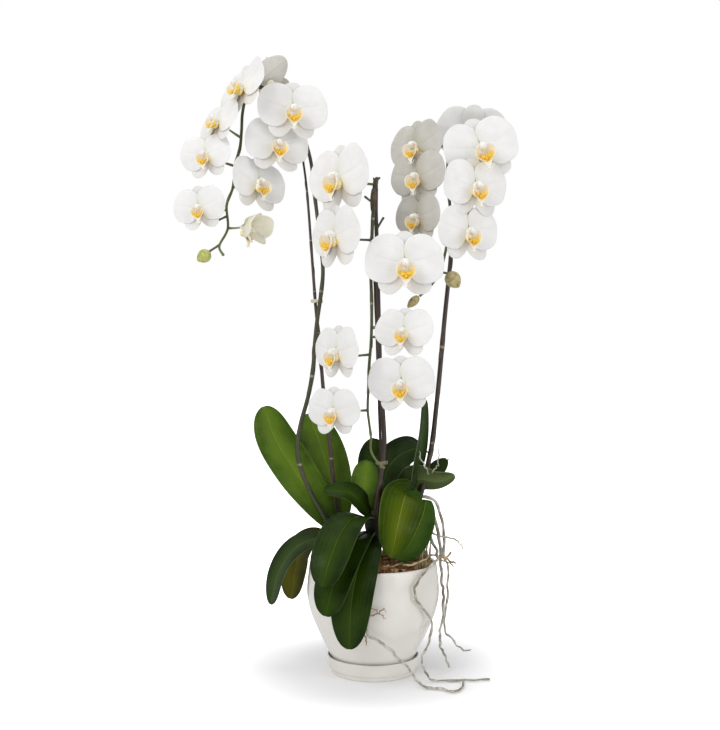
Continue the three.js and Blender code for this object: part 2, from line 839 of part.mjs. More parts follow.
/** One flower: five tepals, lip, column and the stalk back to its stem. */
function bloom(spec, grow) {
  const axes = bloomAxes(spec);
  const size = spec.size ?? 1;
  const parts = TEPALS.map((item) => tepal(spec, axes, item, grow));
  parts.push(lip(spec, axes, grow));
  const heart = bloomPoint(spec, axes, 0, 0, 0);
  const nose = bloomPoint(spec, axes, 0, 0.5, 10);
  const back = bloomPoint(spec, axes, 0, -1, -5);
  const column = new THREE.LineCurve3(back, nose);
  const waist = (t) => size * (3.9 - 0.9 * t);
  parts.push(rod(column, waist, { steps: 1, sides: 6, grow }));
  const stemCurve = curveThrough(STEMS[spec.stem].points);
  const behindHeart = bloomPoint(spec, axes, 0, -4, -30);
  const root = spec.hangs ? vec(spec.hangs) : nearestOn(stemCurve, behindHeart);
  const behind = bloomPoint(spec, axes, 0, -3, -16);
  const stalk = new THREE.QuadraticBezierCurve3(heart, behind, root);
  const thin = (t) => 1.7 - 0.4 * t;
  parts.push(rod(stalk, thin, { steps: 3, sides: 3, grow }));
  return fuse(parts);
}

// ---- aerial roots -----------------------------------------------------------------

const ROOTS = {
  root_right_floor: [
    {
      radii: [2.0, 1.4],
      points: [
        [52, 6, 196], [66, 4, 182], [75, 0, 160], [80, -22, 146], [69, -51, 140],
        [52, -70, 124], [48, -73, 111], [55, -69, 97], [69, -53, 78], [71, -41, 58],
        [67, -42, 44], [58, -62, 34], [59, -66, 21], [69, -54, 4], [87, -55, 2.4],
        [108, -51, 2.2], [127, -51, 2.2], [142, -47, 2.2],
      ],
    },
  ],
  root_right_hanging: [
    {
      radii: [2.8, 1.4],
      points: [
        [54, 14, 212], [71, 16, 204], [83, 15, 174], [87, 12, 146], [86, 5, 124],
        [87, -5, 107], [88, -8, 89], [86, -12, 63], [82, -20, 48], [83, -20, 36],
        [90, -10, 19], [96, -2, 2.2],
      ],
    },
  ],
  root_right_back: [
    {
      radii: [2.4, 1.1],
      points: [
        [54, 18, 218], [81, 24, 209], [90, 27, 178], [92, 27, 146], [97, 24, 117],
        [95, 20, 83], [91, 17, 48], [102, 18, 32], [115, 20, 20], [127, 24, 17],
      ],
    },
  ],
  root_front: [
    {
      radii: [2.7, 1.5],
      points: [
        [2, -14, 168], [6, -36, 158], [3, -64, 146], [0, -82, 143], [-3, -87, 128],
        [-8, -87, 108], [-12, -87, 86], [-7, -85, 67], [5, -81, 58], [17, -78, 48],
        [29, -76, 36], [41, -72, 23], [50, -72, 9], [63, -80, 2.4], [78, -85, 2.4],
        [92, -95, 2.4], [104, -82, 2.4], [108, -56, 2.4],
      ],
    },
    { radii: [1.6, 1.0], points: [[-10, -87, 96], [-3, -89, 90], [5, -88, 88]] },
  ],
  root_right_side: [
    {
      radii: [1.6, 0.9],
      points: [
        [45, 6, 188], [66, -6, 181], [78, -10, 171], [97, -12, 169], [107, -12, 162],
        [113, -12, 154],
      ],
    },
  ],
  root_bark: [
    {
      radii: [1.8, 1.3],
      points: [
        [50, -6, 168], [44, -26, 154], [32, -44, 144], [42, -58, 143], [60, -44, 146],
        [72, -26, 149], [90, -20, 146], [97, -18, 152],
      ],
    },
    { radii: [1.5, 1.0], points: [[36, -48, 144], [24, -56, 141], [12, -60, 141]] },
  ],
};

function roots(branches, grow) {
  return fuse(
    branches.map(({ points, radii }) => {
      const taper = (t) => radii[0] + (radii[1] - radii[0]) * t;
      const steps = Math.round((points.length - 1) * 1.2);
      return rod(curveThrough(points), taper, { steps, sides: 5, grow });
    }),
  );
}

// ---- colours and assembly ------------------------------------------------------------

const FINISHES = {
  glaze: { color: 0xf1eee9, roughness: 0.25 },
  bark: { color: 0x5a3422, roughness: 0.95 },
  stem: { color: 0x4a3a2c, roughness: 0.5 },
  cane: { color: 0x3d2a22, roughness: 0.6 },
  tie: { color: 0xd9d4c2, roughness: 0.4 },
  crown: { color: 0x5f7a3a, roughness: 0.5 },
  leaf: { color: 0x2f5a1e, roughness: 0.35 },
  brightLeaf: { color: 0x5d8a2e, roughness: 0.35 },
  petal: { color: 0xf4f2ee, roughness: 0.55 },
  root: { color: 0xb9b29a, roughness: 0.8 },
};

const group = new THREE.Group();
group.name = 'potted_orchid';
const settled = [];

/** Whether two solids' boxes come within the clearance of each other. */
function near(first, second) {
  const [a, b] = [first.boundingBox(), second.boundingBox()];
  return [0, 1, 2].every((k) => a.min[k] < b.max[k] && b.min[k] < a.max[k]);
}

/** Makes a piece, keeps it clear of the pieces already there and adds it. */
function settle(name, make, finish) {
  let solid = make(0);
  for (const other of settled) {
    if (near(solid, other)) solid = solid.subtract(other);
  }
  solid = mainBody(mainBody(solid).asOriginal().simplify(SMOOTHING));
  settled.push(make(CLEARANCE));
  const { vertProperties, triVerts, numProp } = solid.getMesh();
  const geometry = new THREE.BufferGeometry();
  const positions = new THREE.InterleavedBuffer(vertProperties, numProp);
  geometry.setAttribute('position', new THREE.InterleavedBufferAttribute(positions, 3, 0));
  geometry.setIndex(new THREE.BufferAttribute(triVerts, 1));
  geometry.computeVertexNormals();
  const material = new THREE.MeshStandardMaterial({ ...FINISHES[finish], metalness: 0 });
  material.name = finish;
  const mesh = new THREE.Mesh(geometry, material);
  mesh.name = name;
  group.add(mesh);
}

settle('pot', pot, 'glaze');
settle('saucer', saucer, 'glaze');
for (const [name, spec] of Object.entries(STEMS)) {
  settle(name, (grow) => stem(spec, grow), 'stem');
}
settle('stake_centre', stake, 'cane');
for (const [name, spec] of Object.entries(CROWNS)) {
  settle(name, (grow) => crown(spec, grow), 'crown');
}
for (const [name, spec] of Object.entries(ROOTS)) {
  settle(name, (grow) => roots(spec, grow), 'root');
}
for (const [name, spec] of Object.entries(TIES)) {
  settle(name, (grow) => tie(spec, grow), 'tie');
}
for (const [name, spec] of Object.entries(LEAVES)) {
  const finish = name === 'leaf_right_bright' ? 'brightLeaf' : 'leaf';
  settle(name, (grow) => leaf(spec, grow), finish);
}
for (const [name, spec] of Object.entries(BLOOMS)) {
  settle(name, (grow) => bloom(spec, grow), 'petal');
}
settle('growing_medium', growingMedium, 'bark');

export default group;
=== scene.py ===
"""Visual model of a potted moth orchid with three leafy plants and four flower stems.

Lengths in the tables are millimetres in the part's own frame: +Z up, the origin on the
underside of the saucer, the viewer on the -Y side. Meshes are made in metres.
"""

import logging
import math
import random
from contextlib import contextmanager
from dataclasses import dataclass, field
from enum import Enum
from typing import Callable, Iterator, Optional, Sequence, Union

import bpy
from mathutils import Matrix, Vector, noise


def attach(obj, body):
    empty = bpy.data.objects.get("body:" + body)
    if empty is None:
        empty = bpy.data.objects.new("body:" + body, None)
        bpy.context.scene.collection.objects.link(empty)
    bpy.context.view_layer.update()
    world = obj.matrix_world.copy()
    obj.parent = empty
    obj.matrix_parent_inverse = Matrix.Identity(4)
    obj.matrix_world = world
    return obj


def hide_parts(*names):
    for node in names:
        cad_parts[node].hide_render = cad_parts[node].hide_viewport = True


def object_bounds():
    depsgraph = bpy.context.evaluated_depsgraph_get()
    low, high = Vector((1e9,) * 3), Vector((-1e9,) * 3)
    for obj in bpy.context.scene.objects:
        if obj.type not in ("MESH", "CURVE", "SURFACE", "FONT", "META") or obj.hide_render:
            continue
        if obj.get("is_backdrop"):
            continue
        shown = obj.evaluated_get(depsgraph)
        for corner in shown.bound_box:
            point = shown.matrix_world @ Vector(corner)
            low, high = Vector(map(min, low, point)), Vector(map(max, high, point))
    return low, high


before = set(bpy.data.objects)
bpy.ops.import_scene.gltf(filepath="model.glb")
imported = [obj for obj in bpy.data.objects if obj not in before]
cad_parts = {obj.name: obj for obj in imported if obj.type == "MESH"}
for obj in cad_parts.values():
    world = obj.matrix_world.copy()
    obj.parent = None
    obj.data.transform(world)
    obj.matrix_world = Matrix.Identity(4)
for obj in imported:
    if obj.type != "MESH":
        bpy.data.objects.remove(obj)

LOG = logging.getLogger("orchid")
MM = 0.001
NOISE_SEED = 5  # noise_vector differs from run to run until it is seeded
JOINTS = 9  # nodes along a flower stem
Triple = tuple[float, float, float]
Point = Union[Triple, Vector]
Colour = tuple[float, float, float, float]
Rings = tuple[tuple[float, float], ...]
Object = bpy.types.Object
Material = bpy.types.Material
Socket = bpy.types.NodeSocket
Value = Union[Socket, float, Triple, Colour]


class Slot(Enum):
    """The record's material slots."""

    GLAZE = "glaze"
    BARK = "bark"
    CROWN = "crown"
    STEM = "stem"
    CANE = "cane"
    TIE = "tie"
    ROOT = "root"
    LEAF = "leaf"
    BRIGHT_LEAF = "bright_leaf"
    PETAL = "petal"


class Bloom(Enum):
    """How far a flower has opened, with the forward lean of its petals in degrees.

    The petals of an open flower lean back a little instead.
    """

    OPEN = 0
    OPENING = 46
    HALF_OPEN = 42


def tone(red: int, green: int, blue: int) -> Colour:
    """The linear colour of a display colour given as three bytes."""
    linear = []
    for byte in (red, green, blue):
        share = byte / 255
        linear.append(share / 12.92 if share <= 0.04045 else ((share + 0.055) / 1.055) ** 2.4)
    return (linear[0], linear[1], linear[2], 1.0)


def blended(one: Colour, two: Colour, share: float) -> Colour:
    """A colour between two, at a share of the way."""
    mixed = [a + (b - a) * share for a, b in zip(one, two)]
    return (mixed[0], mixed[1], mixed[2], 1.0)


# ---- curves ---------------------------------------------------------------------


class Course:
    """A smooth line through points, the same one as the solids follow."""

    def __init__(self, points: Sequence[Point]) -> None:
        """Keeps the points.

        Args:
            points: places in millimetres, at least two.
        """
        self.points = [Vector(point) for point in points]

    def at(self, share: float) -> Vector:
        """The place at a share (0..1) of the line.

        Args:
            share: 0 at the first point, 1 at the last.

        Returns:
            The place in millimetres.
        """
        spans = len(self.points) - 1
        reach = min(max(share, 0.0), 1.0) * spans
        i = min(int(reach), spans - 1)
        w = reach - i
        here, ahead = self.points[i], self.points[i + 1]
        before = self.points[i - 1] if i > 0 else 2 * here - ahead
        beyond = self.points[i + 2] if i + 2 <= spans else 2 * ahead - here
        leave, arrive = 0.5 * (ahead - before), 0.5 * (beyond - here)
        cube, square = w**3, w * w
        return (
            here * (2 * cube - 3 * square + 1)
            + leave * (cube - 2 * square + w)
            + ahead * (3 * square - 2 * cube)
            + arrive * (cube - square)
        )

    def along(self, share: float) -> Vector:
        """The unit direction of the line at a share of it."""
        low, high = max(share - 1e-4, 0.0), min(share + 1e-4, 1.0)
        return (self.at(high) - self.at(low)).normalized()

    def length(self) -> float:
        """The length of the line in millimetres."""
        places = [self.at(i / 80) for i in range(81)]
        return sum((b - a).length for a, b in zip(places, places[1:]))

    def nearest(self, place: Vector) -> Vector:
        """The point of the line that lies nearest to a place."""
        return min((self.at(i / 200) for i in range(201)), key=lambda p: (p - place).length)


class Bow(Course):
    """A curve with three control points, drawn from the first to the last."""

    def at(self, share: float) -> Vector:
        """The place at a share (0..1) of the curve."""
        first, middle, last = self.points
        rest = 1 - share
        return first * rest * rest + middle * (2 * rest * share) + last * share * share


# ---- mesh work --------------------------------------------------------------------


def deselect() -> None:
    """Leaves edit mode and selects nothing."""
    if bpy.context.object and bpy.context.object.mode != "OBJECT":
        bpy.ops.object.mode_set(mode="OBJECT")
    bpy.ops.object.select_all(action="DESELECT")


def pick(*objects: Object) -> None:
    """Selects these objects alone and makes the first the active one."""
    deselect()
    for obj in objects:
        obj.select_set(True)
    bpy.context.view_layer.objects.active = objects[0]


@contextmanager
def editing(obj: Object, chosen: Optional[Callable[..., bool]] = None) -> Iterator[None]:
    """Edit mode on one object.

    Args:
        obj: the mesh.
        chosen: tells whether a face is selected, None to select all.
    """
    pick(obj)
    bpy.ops.object.mode_set(mode="EDIT")
    bpy.ops.mesh.select_all(action="DESELECT" if chosen else "SELECT")
    if chosen:
        bpy.ops.object.mode_set(mode="OBJECT")
        for face in obj.data.polygons:
            face.select = chosen(face)
        bpy.ops.object.mode_set(mode="EDIT")
    yield
    bpy.ops.object.mode_set(mode="OBJECT")


def begun(name: str) -> Object:
    """Names the primitive just added and moves its place and scale into its mesh."""
    obj = bpy.context.active_object
    obj.name = name
    pick(obj)
    bpy.ops.object.transform_apply(location=True, rotation=True, scale=True)
    return obj


def weld(obj: Object, closed: bool) -> None:
    """Merges doubled points.

    Args:
        obj: the mesh.
        closed: whether it encloses a space; its faces are then turned outward.
    """
    with editing(obj):
        bpy.ops.mesh.remove_doubles(threshold=2e-6)
        if closed:
            bpy.ops.mesh.normals_make_consistent(inside=False)


def apply_all(obj: Object) -> None:
    """Applies every modifier of an object in order."""
    pick(obj)
    for modifier in list(obj.modifiers):
        bpy.ops.object.modifier_apply(modifier=modifier.name)


def smooth(obj: Object, angle: Optional[float] = None) -> None:
    """Shades an object smooth, keeping edges sharper than an angle in degrees."""
    pick(obj)
    if angle is None:
        bpy.ops.object.shade_smooth()
    else:
        bpy.ops.object.shade_smooth_by_angle(angle=math.radians(angle))


def join(objects: Sequence[Object], name: str) -> Object:
    """Joins objects into the first of them and names it."""
    pick(*objects)
    if len(objects) > 1:
        bpy.ops.object.join()
    objects[0].name = name
    return objects[0]


def own_copy(pattern: Object, name: str) -> Object:
    """A copy of an object with a mesh of its own."""
    obj = pattern.copy()
    obj.data = pattern.data.copy()
    obj.name = name
    bpy.context.collection.objects.link(obj)
    return obj


def dress(obj: Object, *finishes: Material) -> Object:
    """Gives an object these finishes in place of any it has."""
    obj.data.materials.clear()
    for finish in finishes:
        obj.data.materials.append(finish)
    return obj


def ship(obj: Object, slot: Slot, node: str) -> None:
    """Hands a finished piece to the frame.

    Args:
        obj: the piece.
        slot: the record's finish that it takes; not used.
        node: the CAD node that it stands for.
    """
    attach(obj, "root")
    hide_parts(node)
    LOG.info("%s: %d faces for %s", obj.name, len(obj.data.polygons), node)


def shaped_grid(
    name: str, rows: int, cols: int, place: Callable[[float, float], Vector], start: Vector
) -> Object:
    """Adds a grid where the piece begins and moves its points onto a surface.

    Args:
        name: the object's name.
        rows: divisions along the piece.
        cols: divisions across it.
        place: the surface, from (along, across), both 0..1, to millimetres.
        start: where the grid is added, in millimetres.

    Returns:
        The open sheet, with its UV map along and across it.
    """
    deselect()
    size = 0.05
    bpy.ops.mesh.primitive_grid_add(
        x_subdivisions=rows,
        y_subdivisions=cols,
        size=size,
        calc_uvs=True,
        location=start * MM + Vector((size / 2, size / 2, 0)),
    )
    obj = bpy.context.active_object
    for vertex in obj.data.vertices:
        along = round((vertex.co.x / size + 0.5) * rows) / rows
        across = round((vertex.co.y / size + 0.5) * cols) / cols
        vertex.co = place(along, across) * MM - obj.location
    return begun(name)


def taper(base: float, tip: float) -> Callable[[float], float]:
    """A radius that changes evenly from one end of a tube to the other."""
    return lambda share: base + (tip - base) * share


@dataclass(frozen=True)
class Tube:
    """A round stalk along a course, with domed ends.

    Attributes:
        course: its centre line.
        radius: radius in millimetres from the share (0..1) along it.
        rows: divisions along it.
        sides: divisions round it.
    """

    course: Course
    radius: Callable[[float], float]
    rows: int
    sides: int
    dome = ((0.0, 0.0), (0.12, 0.55), (0.42, 0.86))

    def stations(self) -> list[tuple[float, float]]:
        """Shares along the course with the swell of each: domes at both ends."""
        length = max(self.course.length(), 0.1)
        low = min(0.2, self.radius(0.0) / length)
        high = min(0.2, self.radius(1.0) / length)
        body = [(low + (1 - low - high) * i / self.rows, 1.0) for i in range(self.rows + 1)]
        first = [(low * share, swell) for share, swell in self.dome]
        last = [(1 - high * share, swell) for share, swell in reversed(self.dome)]
        return first + body + last

    def build(self, name: str) -> Object:
        """Makes the tube.

        Args:
            name: the object's name.

        Returns:
            A closed mesh whose UV map runs along and round it.
        """
        stations = self.stations()
        across = Vector((0.31, 0.92, 0.24))
        rings = []
        for share, swell in stations:
            along = self.course.along(share)
            across = (across - along * across.dot(along)).normalized()
            other = along.cross(across)
            rings.append((self.course.at(share), across, other, self.radius(share) * swell))
        count = len(stations) - 1

        def place(length: float, turn: float) -> Vector:
            """The point of the tube's skin at a station and a turn."""
            centre, one, two, radius = rings[round(length * count)]
            angle = -2 * math.pi * (turn % 1.0)
            return centre + radius * (math.cos(angle) * one + math.sin(angle) * two)

        obj = shaped_grid(name, count, self.sides, place, rings[0][0])
        weld(obj, closed=True)
        smooth(obj)
        return obj


@dataclass(frozen=True)
class Sheet:
    """A thin living blade: a midrib with two halves that rise, cup and ripple.

    Attributes:
        rib: the midrib.
        face: the way the upper side looks, or a function of the share along the rib.
        half: half the width in millimetres from the share along the rib.
        thickness: of the blade, in millimetres.
        rows: divisions along.
        cols: divisions across.
        fold: how steeply the halves rise from the rib.
        cup: extra rise of the margins.
        wave: height and number of the margin's ripples.
        groove: depth of the crease along the rib.
        levels: smoothing levels.
    """

    rib: Course
    face: Union[Vector, Callable[[float], Vector]]
    half: Callable[[float], float]
    thickness: float
    rows: int
    cols: int
    fold: float = 0.0
    cup: float = 0.0
    wave: tuple[float, float] = (0.0, 1.0)
    groove: float = 0.0
    levels: int = 1

    def surface(self, share: float, across: float) -> Vector:
        """The middle of the blade.

        Args:
            share: 0 at the base, 1 at the tip.
            across: 0 and 1 at the margins.

        Returns:
            The place in millimetres.
        """
        u = 0.5 - 0.5 * math.cos(math.pi * share)
        t = 2 * across - 1
        v = math.copysign(abs(t) ** 1.25, t)
        along = self.rib.along(min(max(u, 0.001), 0.999))
        face = self.face(u) if callable(self.face) else self.face
        side = face.cross(along).normalized()
        normal = along.cross(side)
        half = self.half(u)
        ripple = self.wave[0] * v * v * math.sin(2 * math.pi * self.wave[1] * u + 2 * v)
        ripple *= min(1.0, half / 4)
        crease = self.groove * math.exp(-((v / 0.07) ** 2)) * math.sin(math.pi * u) ** 0.5
        rise = (self.fold * abs(v) + self.cup * v * v) * half + ripple - crease
        return self.rib.at(u) + side * (v * half) + normal * rise

    def build(self, name: str) -> Object:
        """Makes the closed, smoothed blade.

        Args:
            name: the object's name.

        Returns:
            The blade, with its UV map along and across it.
        """
        obj = shaped_grid(name, self.rows, self.cols, self.surface, self.rib.at(0))
        weld(obj, closed=False)
        wall = obj.modifiers.new("thickness", "SOLIDIFY")
        wall.thickness = self.thickness * MM
        wall.offset = 0
        wall.use_even_offset = True
        if self.levels:
            soft = obj.modifiers.new("soft", "SUBSURF")
            soft.levels = soft.render_levels = self.levels
        apply_all(obj)
        smooth(obj)
        return obj


def rounded(
    width: float, neck: float, belly: float, full: float = 1.0, blunt: float = 2.4
) -> Callable[[float], float]:
    """Half the width of a leaf or petal that narrows to its base and ends round.

    Args:
        width: the greatest width in millimetres.
        neck: share of the width at the base.
        belly: where along the blade it is widest.
        full: how quickly it narrows towards the base.
        blunt: how round the tip is, 2 for an ellipse.

    Returns:
        A function of the share along the blade.
    """

    def half(u: float) -> float:
        """Half the width at a share along the blade."""
        if u < belly:
            s = (belly - u) / belly
            return width / 2 * (neck + (1 - neck) * math.sqrt(max(0.0, 1 - s * s)) ** full)
        s = min(1.0, (u - belly) / (1 - belly))
        return width / 2 * (1 - s**blunt) ** (1 / 2.15)

    return half


# ---- shader nodes -------------------------------------------------------------------


class Nodes:
    """Adds and joins the nodes of one material or group."""

    def __init__(self, tree: bpy.types.NodeTree) -> None:
        """Keeps the tree to work on."""
        self.tree = tree

    def feed(self, socket: Socket, value: Value) -> None:
        """Links a socket to an output, or sets its value."""
        if isinstance(value, Socket):
            self.tree.links.new(value, socket)
        else:
            socket.default_value = value

    def add(self, kind: str, inputs: Optional[dict] = None, **settings: object) -> bpy.types.Node:
        """Adds a node.

        Args:
            kind: the node's type.
            inputs: values or outputs by the name or number of the input.
            settings: the node's own properties.

        Returns:
            The node.
        """
        node = self.tree.nodes.new(kind)
        for name, value in settings.items():
            setattr(node, name, value)
        for key, value in (inputs or {}).items():
            self.feed(node.inputs[key], value)
        return node

    def math(self, operation: str, *values: Value, clamp: bool = False) -> Socket:
        """The result of a sum on numbers."""
        inputs = dict(enumerate(values))
        return self.add("ShaderNodeMath", inputs, operation=operation, use_clamp=clamp).outputs[0]

    def times(self, one: Value, two: Value, clamp: bool = False) -> Socket:
        """One value times another."""
        return self.math("MULTIPLY", one, two, clamp=clamp)

    def line(self, value: Value, slope: Value, base: Value) -> Socket:
        """A value times a slope, on a base."""
        return self.math("MULTIPLY_ADD", value, slope, base)

    def band(self, value: Socket, low: float, high: float) -> Socket:
        """A soft step of a value: 0 at low, 1 at high (or the other way round)."""
        ends = (low, high, 0.0, 1.0) if low < high else (high, low, 1.0, 0.0)
        inputs = dict(enumerate((value, *ends)))
        return self.add("ShaderNodeMapRange", inputs, interpolation_type="SMOOTHSTEP").outputs[0]

    def mix(self, share: Value, one: Value, two: Value, blend: str = "MIX") -> Socket:
        """One colour mixed towards another."""
        inputs = {0: share, 6: one, 7: two}
        return self.add("ShaderNodeMix", inputs, data_type="RGBA", blend_type=blend).outputs[2]

    def tint(self, skin: Value, mask: Value, strength: float, colour: Value) -> Socket:
        """A skin tinted with a colour, where and as far as a mask says."""
        return self.mix(self.times(mask, strength), skin, colour)

    def ramp(self, value: Socket, stops: Sequence[tuple[float, Colour]]) -> Socket:
        """A colour picked from stops along a value."""
        node = self.add("ShaderNodeValToRGB", {0: value})
        ramp = node.color_ramp
        while len(ramp.elements) < len(stops):
            ramp.elements.new(0.5)
        for element, (place, colour) in zip(ramp.elements, stops):
            element.position = place
            element.color = colour
        return node.outputs[0]

    def uv(self) -> tuple[Socket, Socket]:
        """The share along the piece and the share across it."""
        source = self.add("ShaderNodeTexCoord").outputs["UV"]
        parts = self.add("ShaderNodeSeparateXYZ", {0: source})
        return parts.outputs[0], parts.outputs[1]

    def off_rib(self, across: Socket) -> Socket:
        """How far off the rib a place is, 0 on it and 1 at the margins."""
        return self.math("ABSOLUTE", self.line(across, 2.0, -1.0))

    def cloud(self, scale: Value, detail: float = 3.0, rough: float = 0.5) -> Socket:
        """A cloudy value over the object, 0..1."""
        where = self.add("ShaderNodeTexCoord").outputs["Object"]
        inputs = {"Vector": where, "Scale": scale, "Detail": detail, "Roughness": rough}
        return self.add("ShaderNodeTexNoise", inputs).outputs[0]


class Effects:
    """Shader effects shared by several materials, each made once."""

    made: dict[str, bpy.types.NodeTree] = {}

    @classmethod
    def begin(cls, name: str, takes: dict[str, str], gives: dict[str, str]) -> tuple:
        """Starts a group.

        Args:
            name: the group's name.
            takes: names and kinds (Float or Color) of its inputs.
            gives: names and kinds of its outputs.

        Returns:
            The node helper, the sockets it takes from and the sockets it feeds.
        """
        tree = bpy.data.node_groups.new(name, "ShaderNodeTree")
        for sockets, way in ((takes, "INPUT"), (gives, "OUTPUT")):
            for label, kind in sockets.items():
                tree.interface.new_socket(name=label, in_out=way, socket_type=f"NodeSocket{kind}")
        cls.made[name] = tree
        nodes = Nodes(tree)
        return nodes, nodes.add("NodeGroupInput").outputs, nodes.add("NodeGroupOutput").inputs

    @classmethod
    def build(cls) -> None:
        """Makes all the groups."""
        cls.mottling()
        cls.veins()
        cls.relief()

    @classmethod
    def mottling(cls) -> None:
        """Two colours that drift into each other over the object."""
        takes = {"Scale": "Float", "Low": "Color", "High": "Color"}
        nodes, take, give = cls.begin("mottling", takes, {"Color": "Color"})
        mask = nodes.band(nodes.cloud(take["Scale"], 5.0), 0.3, 0.7)
        nodes.feed(give["Color"], nodes.mix(mask, take["Low"], take["High"]))

    @classmethod
    def veins(cls) -> None:
        """Fine lines that run along a blade and waver a little."""
        takes = dict.fromkeys(("Along", "Across", "Count", "Wobble"), "Float")
        nodes, take, give = cls.begin("veins", takes, {"Mask": "Float"})
        place = nodes.add("ShaderNodeCombineXYZ", {0: take["Along"], 1: take["Across"]}).outputs[0]
        drift = nodes.add("ShaderNodeTexNoise", {"Vector": place, "Scale": 5.0, "Detail": 2.0})
        bend = nodes.times(nodes.math("SUBTRACT", drift.outputs[0], 0.5), take["Wobble"])
        turns = nodes.times(nodes.math("ADD", take["Across"], bend), take["Count"])
        wave = nodes.math("SINE", nodes.times(turns, 2 * math.pi))
        nodes.feed(give["Mask"], nodes.band(wave, 0.45, 1.0))

    @classmethod
    def relief(cls) -> None:
        """A fine uneven skin: its height, and a mask of where it is rough."""
        gives = {"Height": "Float", "Mask": "Float"}
        nodes, take, give = cls.begin("relief", {"Scale": "Float"}, gives)
        nodes.feed(give["Height"], nodes.cloud(take["Scale"], 4.0))
        coarse = nodes.cloud(nodes.times(take["Scale"], 0.12), 2.0)
        nodes.feed(give["Mask"], nodes.band(coarse, 0.35, 0.65))


class Paint:
    """One material under work: a Principled shader with nodes that feed it."""

    def __init__(self, name: str) -> None:
        """Makes the material with its Principled shader."""
        self.material = bpy.data.materials.new(name)
        self.material.use_nodes = True
        self.nodes = Nodes(self.material.node_tree)
        self.shader = next(n for n in self.material.node_tree.nodes if n.type == "BSDF_PRINCIPLED")

    def effect(self, name: str, **inputs: Value) -> bpy.types.bpy_prop_collection:
        """Places a shared effect with its own values and gives its outputs."""
        node = self.nodes.add("ShaderNodeGroup")
        node.node_tree = Effects.made[name]
        for key, value in inputs.items():
            self.nodes.feed(node.inputs[key], value)
        return node.outputs

    def mottled(self, scale: float, low: Colour, high: Colour) -> Socket:
        """Two colours in cloudy patches."""
        return self.effect("mottling", Scale=scale, Low=low, High=high)[0]

    def veined(self, along: Socket, across: Socket, count: float, wobble: float) -> Socket:
        """A mask of fine lines along the piece."""
        return self.effect("veins", Along=along, Across=across, Count=count, Wobble=wobble)[0]

    def grained(self, scale: float, spread: float, rough: float) -> Socket:
        """Gives the skin an uneven roughness, and returns the height of its grain."""
        grain = self.effect("relief", Scale=scale)
        self.set(Roughness=self.nodes.line(grain["Mask"], spread, rough))
        return grain["Height"]

    def set(self, **inputs: Value) -> None:
        """Sets the shader's sockets, with _ for each blank in their names."""
        for key, value in inputs.items():
            self.nodes.feed(self.shader.inputs[key.replace("_", " ")], value)

    def done(self, skin: Socket, height: Socket, depth: float, strength: float, **inputs: Value) -> Material:
        """Gives the surface its colour and its relief.

        Args:
            skin: its colour.
            height: its relief, 0..1.
            depth: how deep the relief is, in millimetres.
            strength: how strongly it shows.
            inputs: values of the shader's other sockets.

        Returns:
            The material.
        """
        bump = {"Height": height, "Strength": strength, "Distance": depth * MM}
        normal = self.nodes.add("ShaderNodeBump", bump).outputs[0]
        self.set(Base_Color=skin, Normal=normal, **inputs)
        return self.material


# ---- finishes -----------------------------------------------------------------------


@dataclass(frozen=True)
class GlazeFinish:
    """Off-white gloss glaze with a faint warm cloudiness and a few fine specks."""

    low: Colour = tone(227, 223, 214)
    high: Colour = tone(237, 234, 227)
    speck: Colour = tone(176, 160, 140)

    def material(self) -> Material:
        """Makes the glaze."""
        paint = Paint("warm_white_glaze")
        nodes = paint.nodes
        specks = nodes.band(nodes.cloud(900.0, 1.0), 0.73, 0.8)
        skin = nodes.tint(paint.mottled(14.0, self.low, self.high), specks, 0.35, self.speck)
        height = paint.grained(420.0, 0.06, 0.16)
        return paint.done(skin, height, 0.05, 0.35, Coat_Weight=0.5, Coat_Roughness=0.06)


@dataclass(frozen=True)
class LeafFinish:
    """The upper side or the underside of a leaf.

    Attributes:
        name: the material's name.
        low: darkest green.
        high: lighter green.
        glow: the green of the sunlit middle.
        rib: colour of the midrib, the veins and the margin.
        under: whether it is an underside, duller and with the rib standing out.
        foot: the dark green painted where the leaf leaves its crown: painted shade among the leaf feet.
    """

    name: str
    low: Colour
    high: Colour
    glow: Colour
    rib: Colour
    under: bool
    foot: Colour = tone(12, 20, 6)

    def material(self) -> Material:
        """Makes the leaf's skin."""
        paint = Paint(self.name)
        nodes = paint.nodes
        along, across = nodes.uv()
        off = nodes.off_rib(across)
        rib = nodes.band(off, 0.07, 0.0)
        veins = paint.veined(along, across, 11.0, 0.05)
        middle = nodes.times(nodes.band(off, 1.0, 0.1), nodes.cloud(17.0))
        sunlit = nodes.times(nodes.band(along, 0.1, 0.55), middle)
        skin = paint.mottled(38.0, self.low, self.high)
        skin = nodes.mix(nodes.times(sunlit, 1.5, clamp=True), skin, self.glow)
        specks = nodes.band(nodes.cloud(520.0, 2.0), 0.64, 0.72)
        for mask, strength in ((veins, 0.05), (rib, 0.45), (specks, 0.14)):
            skin = nodes.tint(skin, mask, strength, self.rib)
        # painted shade: each leaf darkens towards its foot, where the other leaves shade it
        skin = nodes.tint(skin, nodes.band(along, 0.3, 0.04), 0.8, self.foot)
        skin = nodes.tint(skin, nodes.band(off, 0.965, 1.0), 0.5, self.rib)
        grain = paint.grained(900.0, 0.14, 0.45 if self.under else 0.29)
        ridge = nodes.times(rib, 1.0 if self.under else -1.0)
        height = nodes.line(grain, 0.16, nodes.line(veins, 0.06, ridge))
        return paint.done(skin, height, 0.35, 0.6, Specular_IOR_Level=0.1)


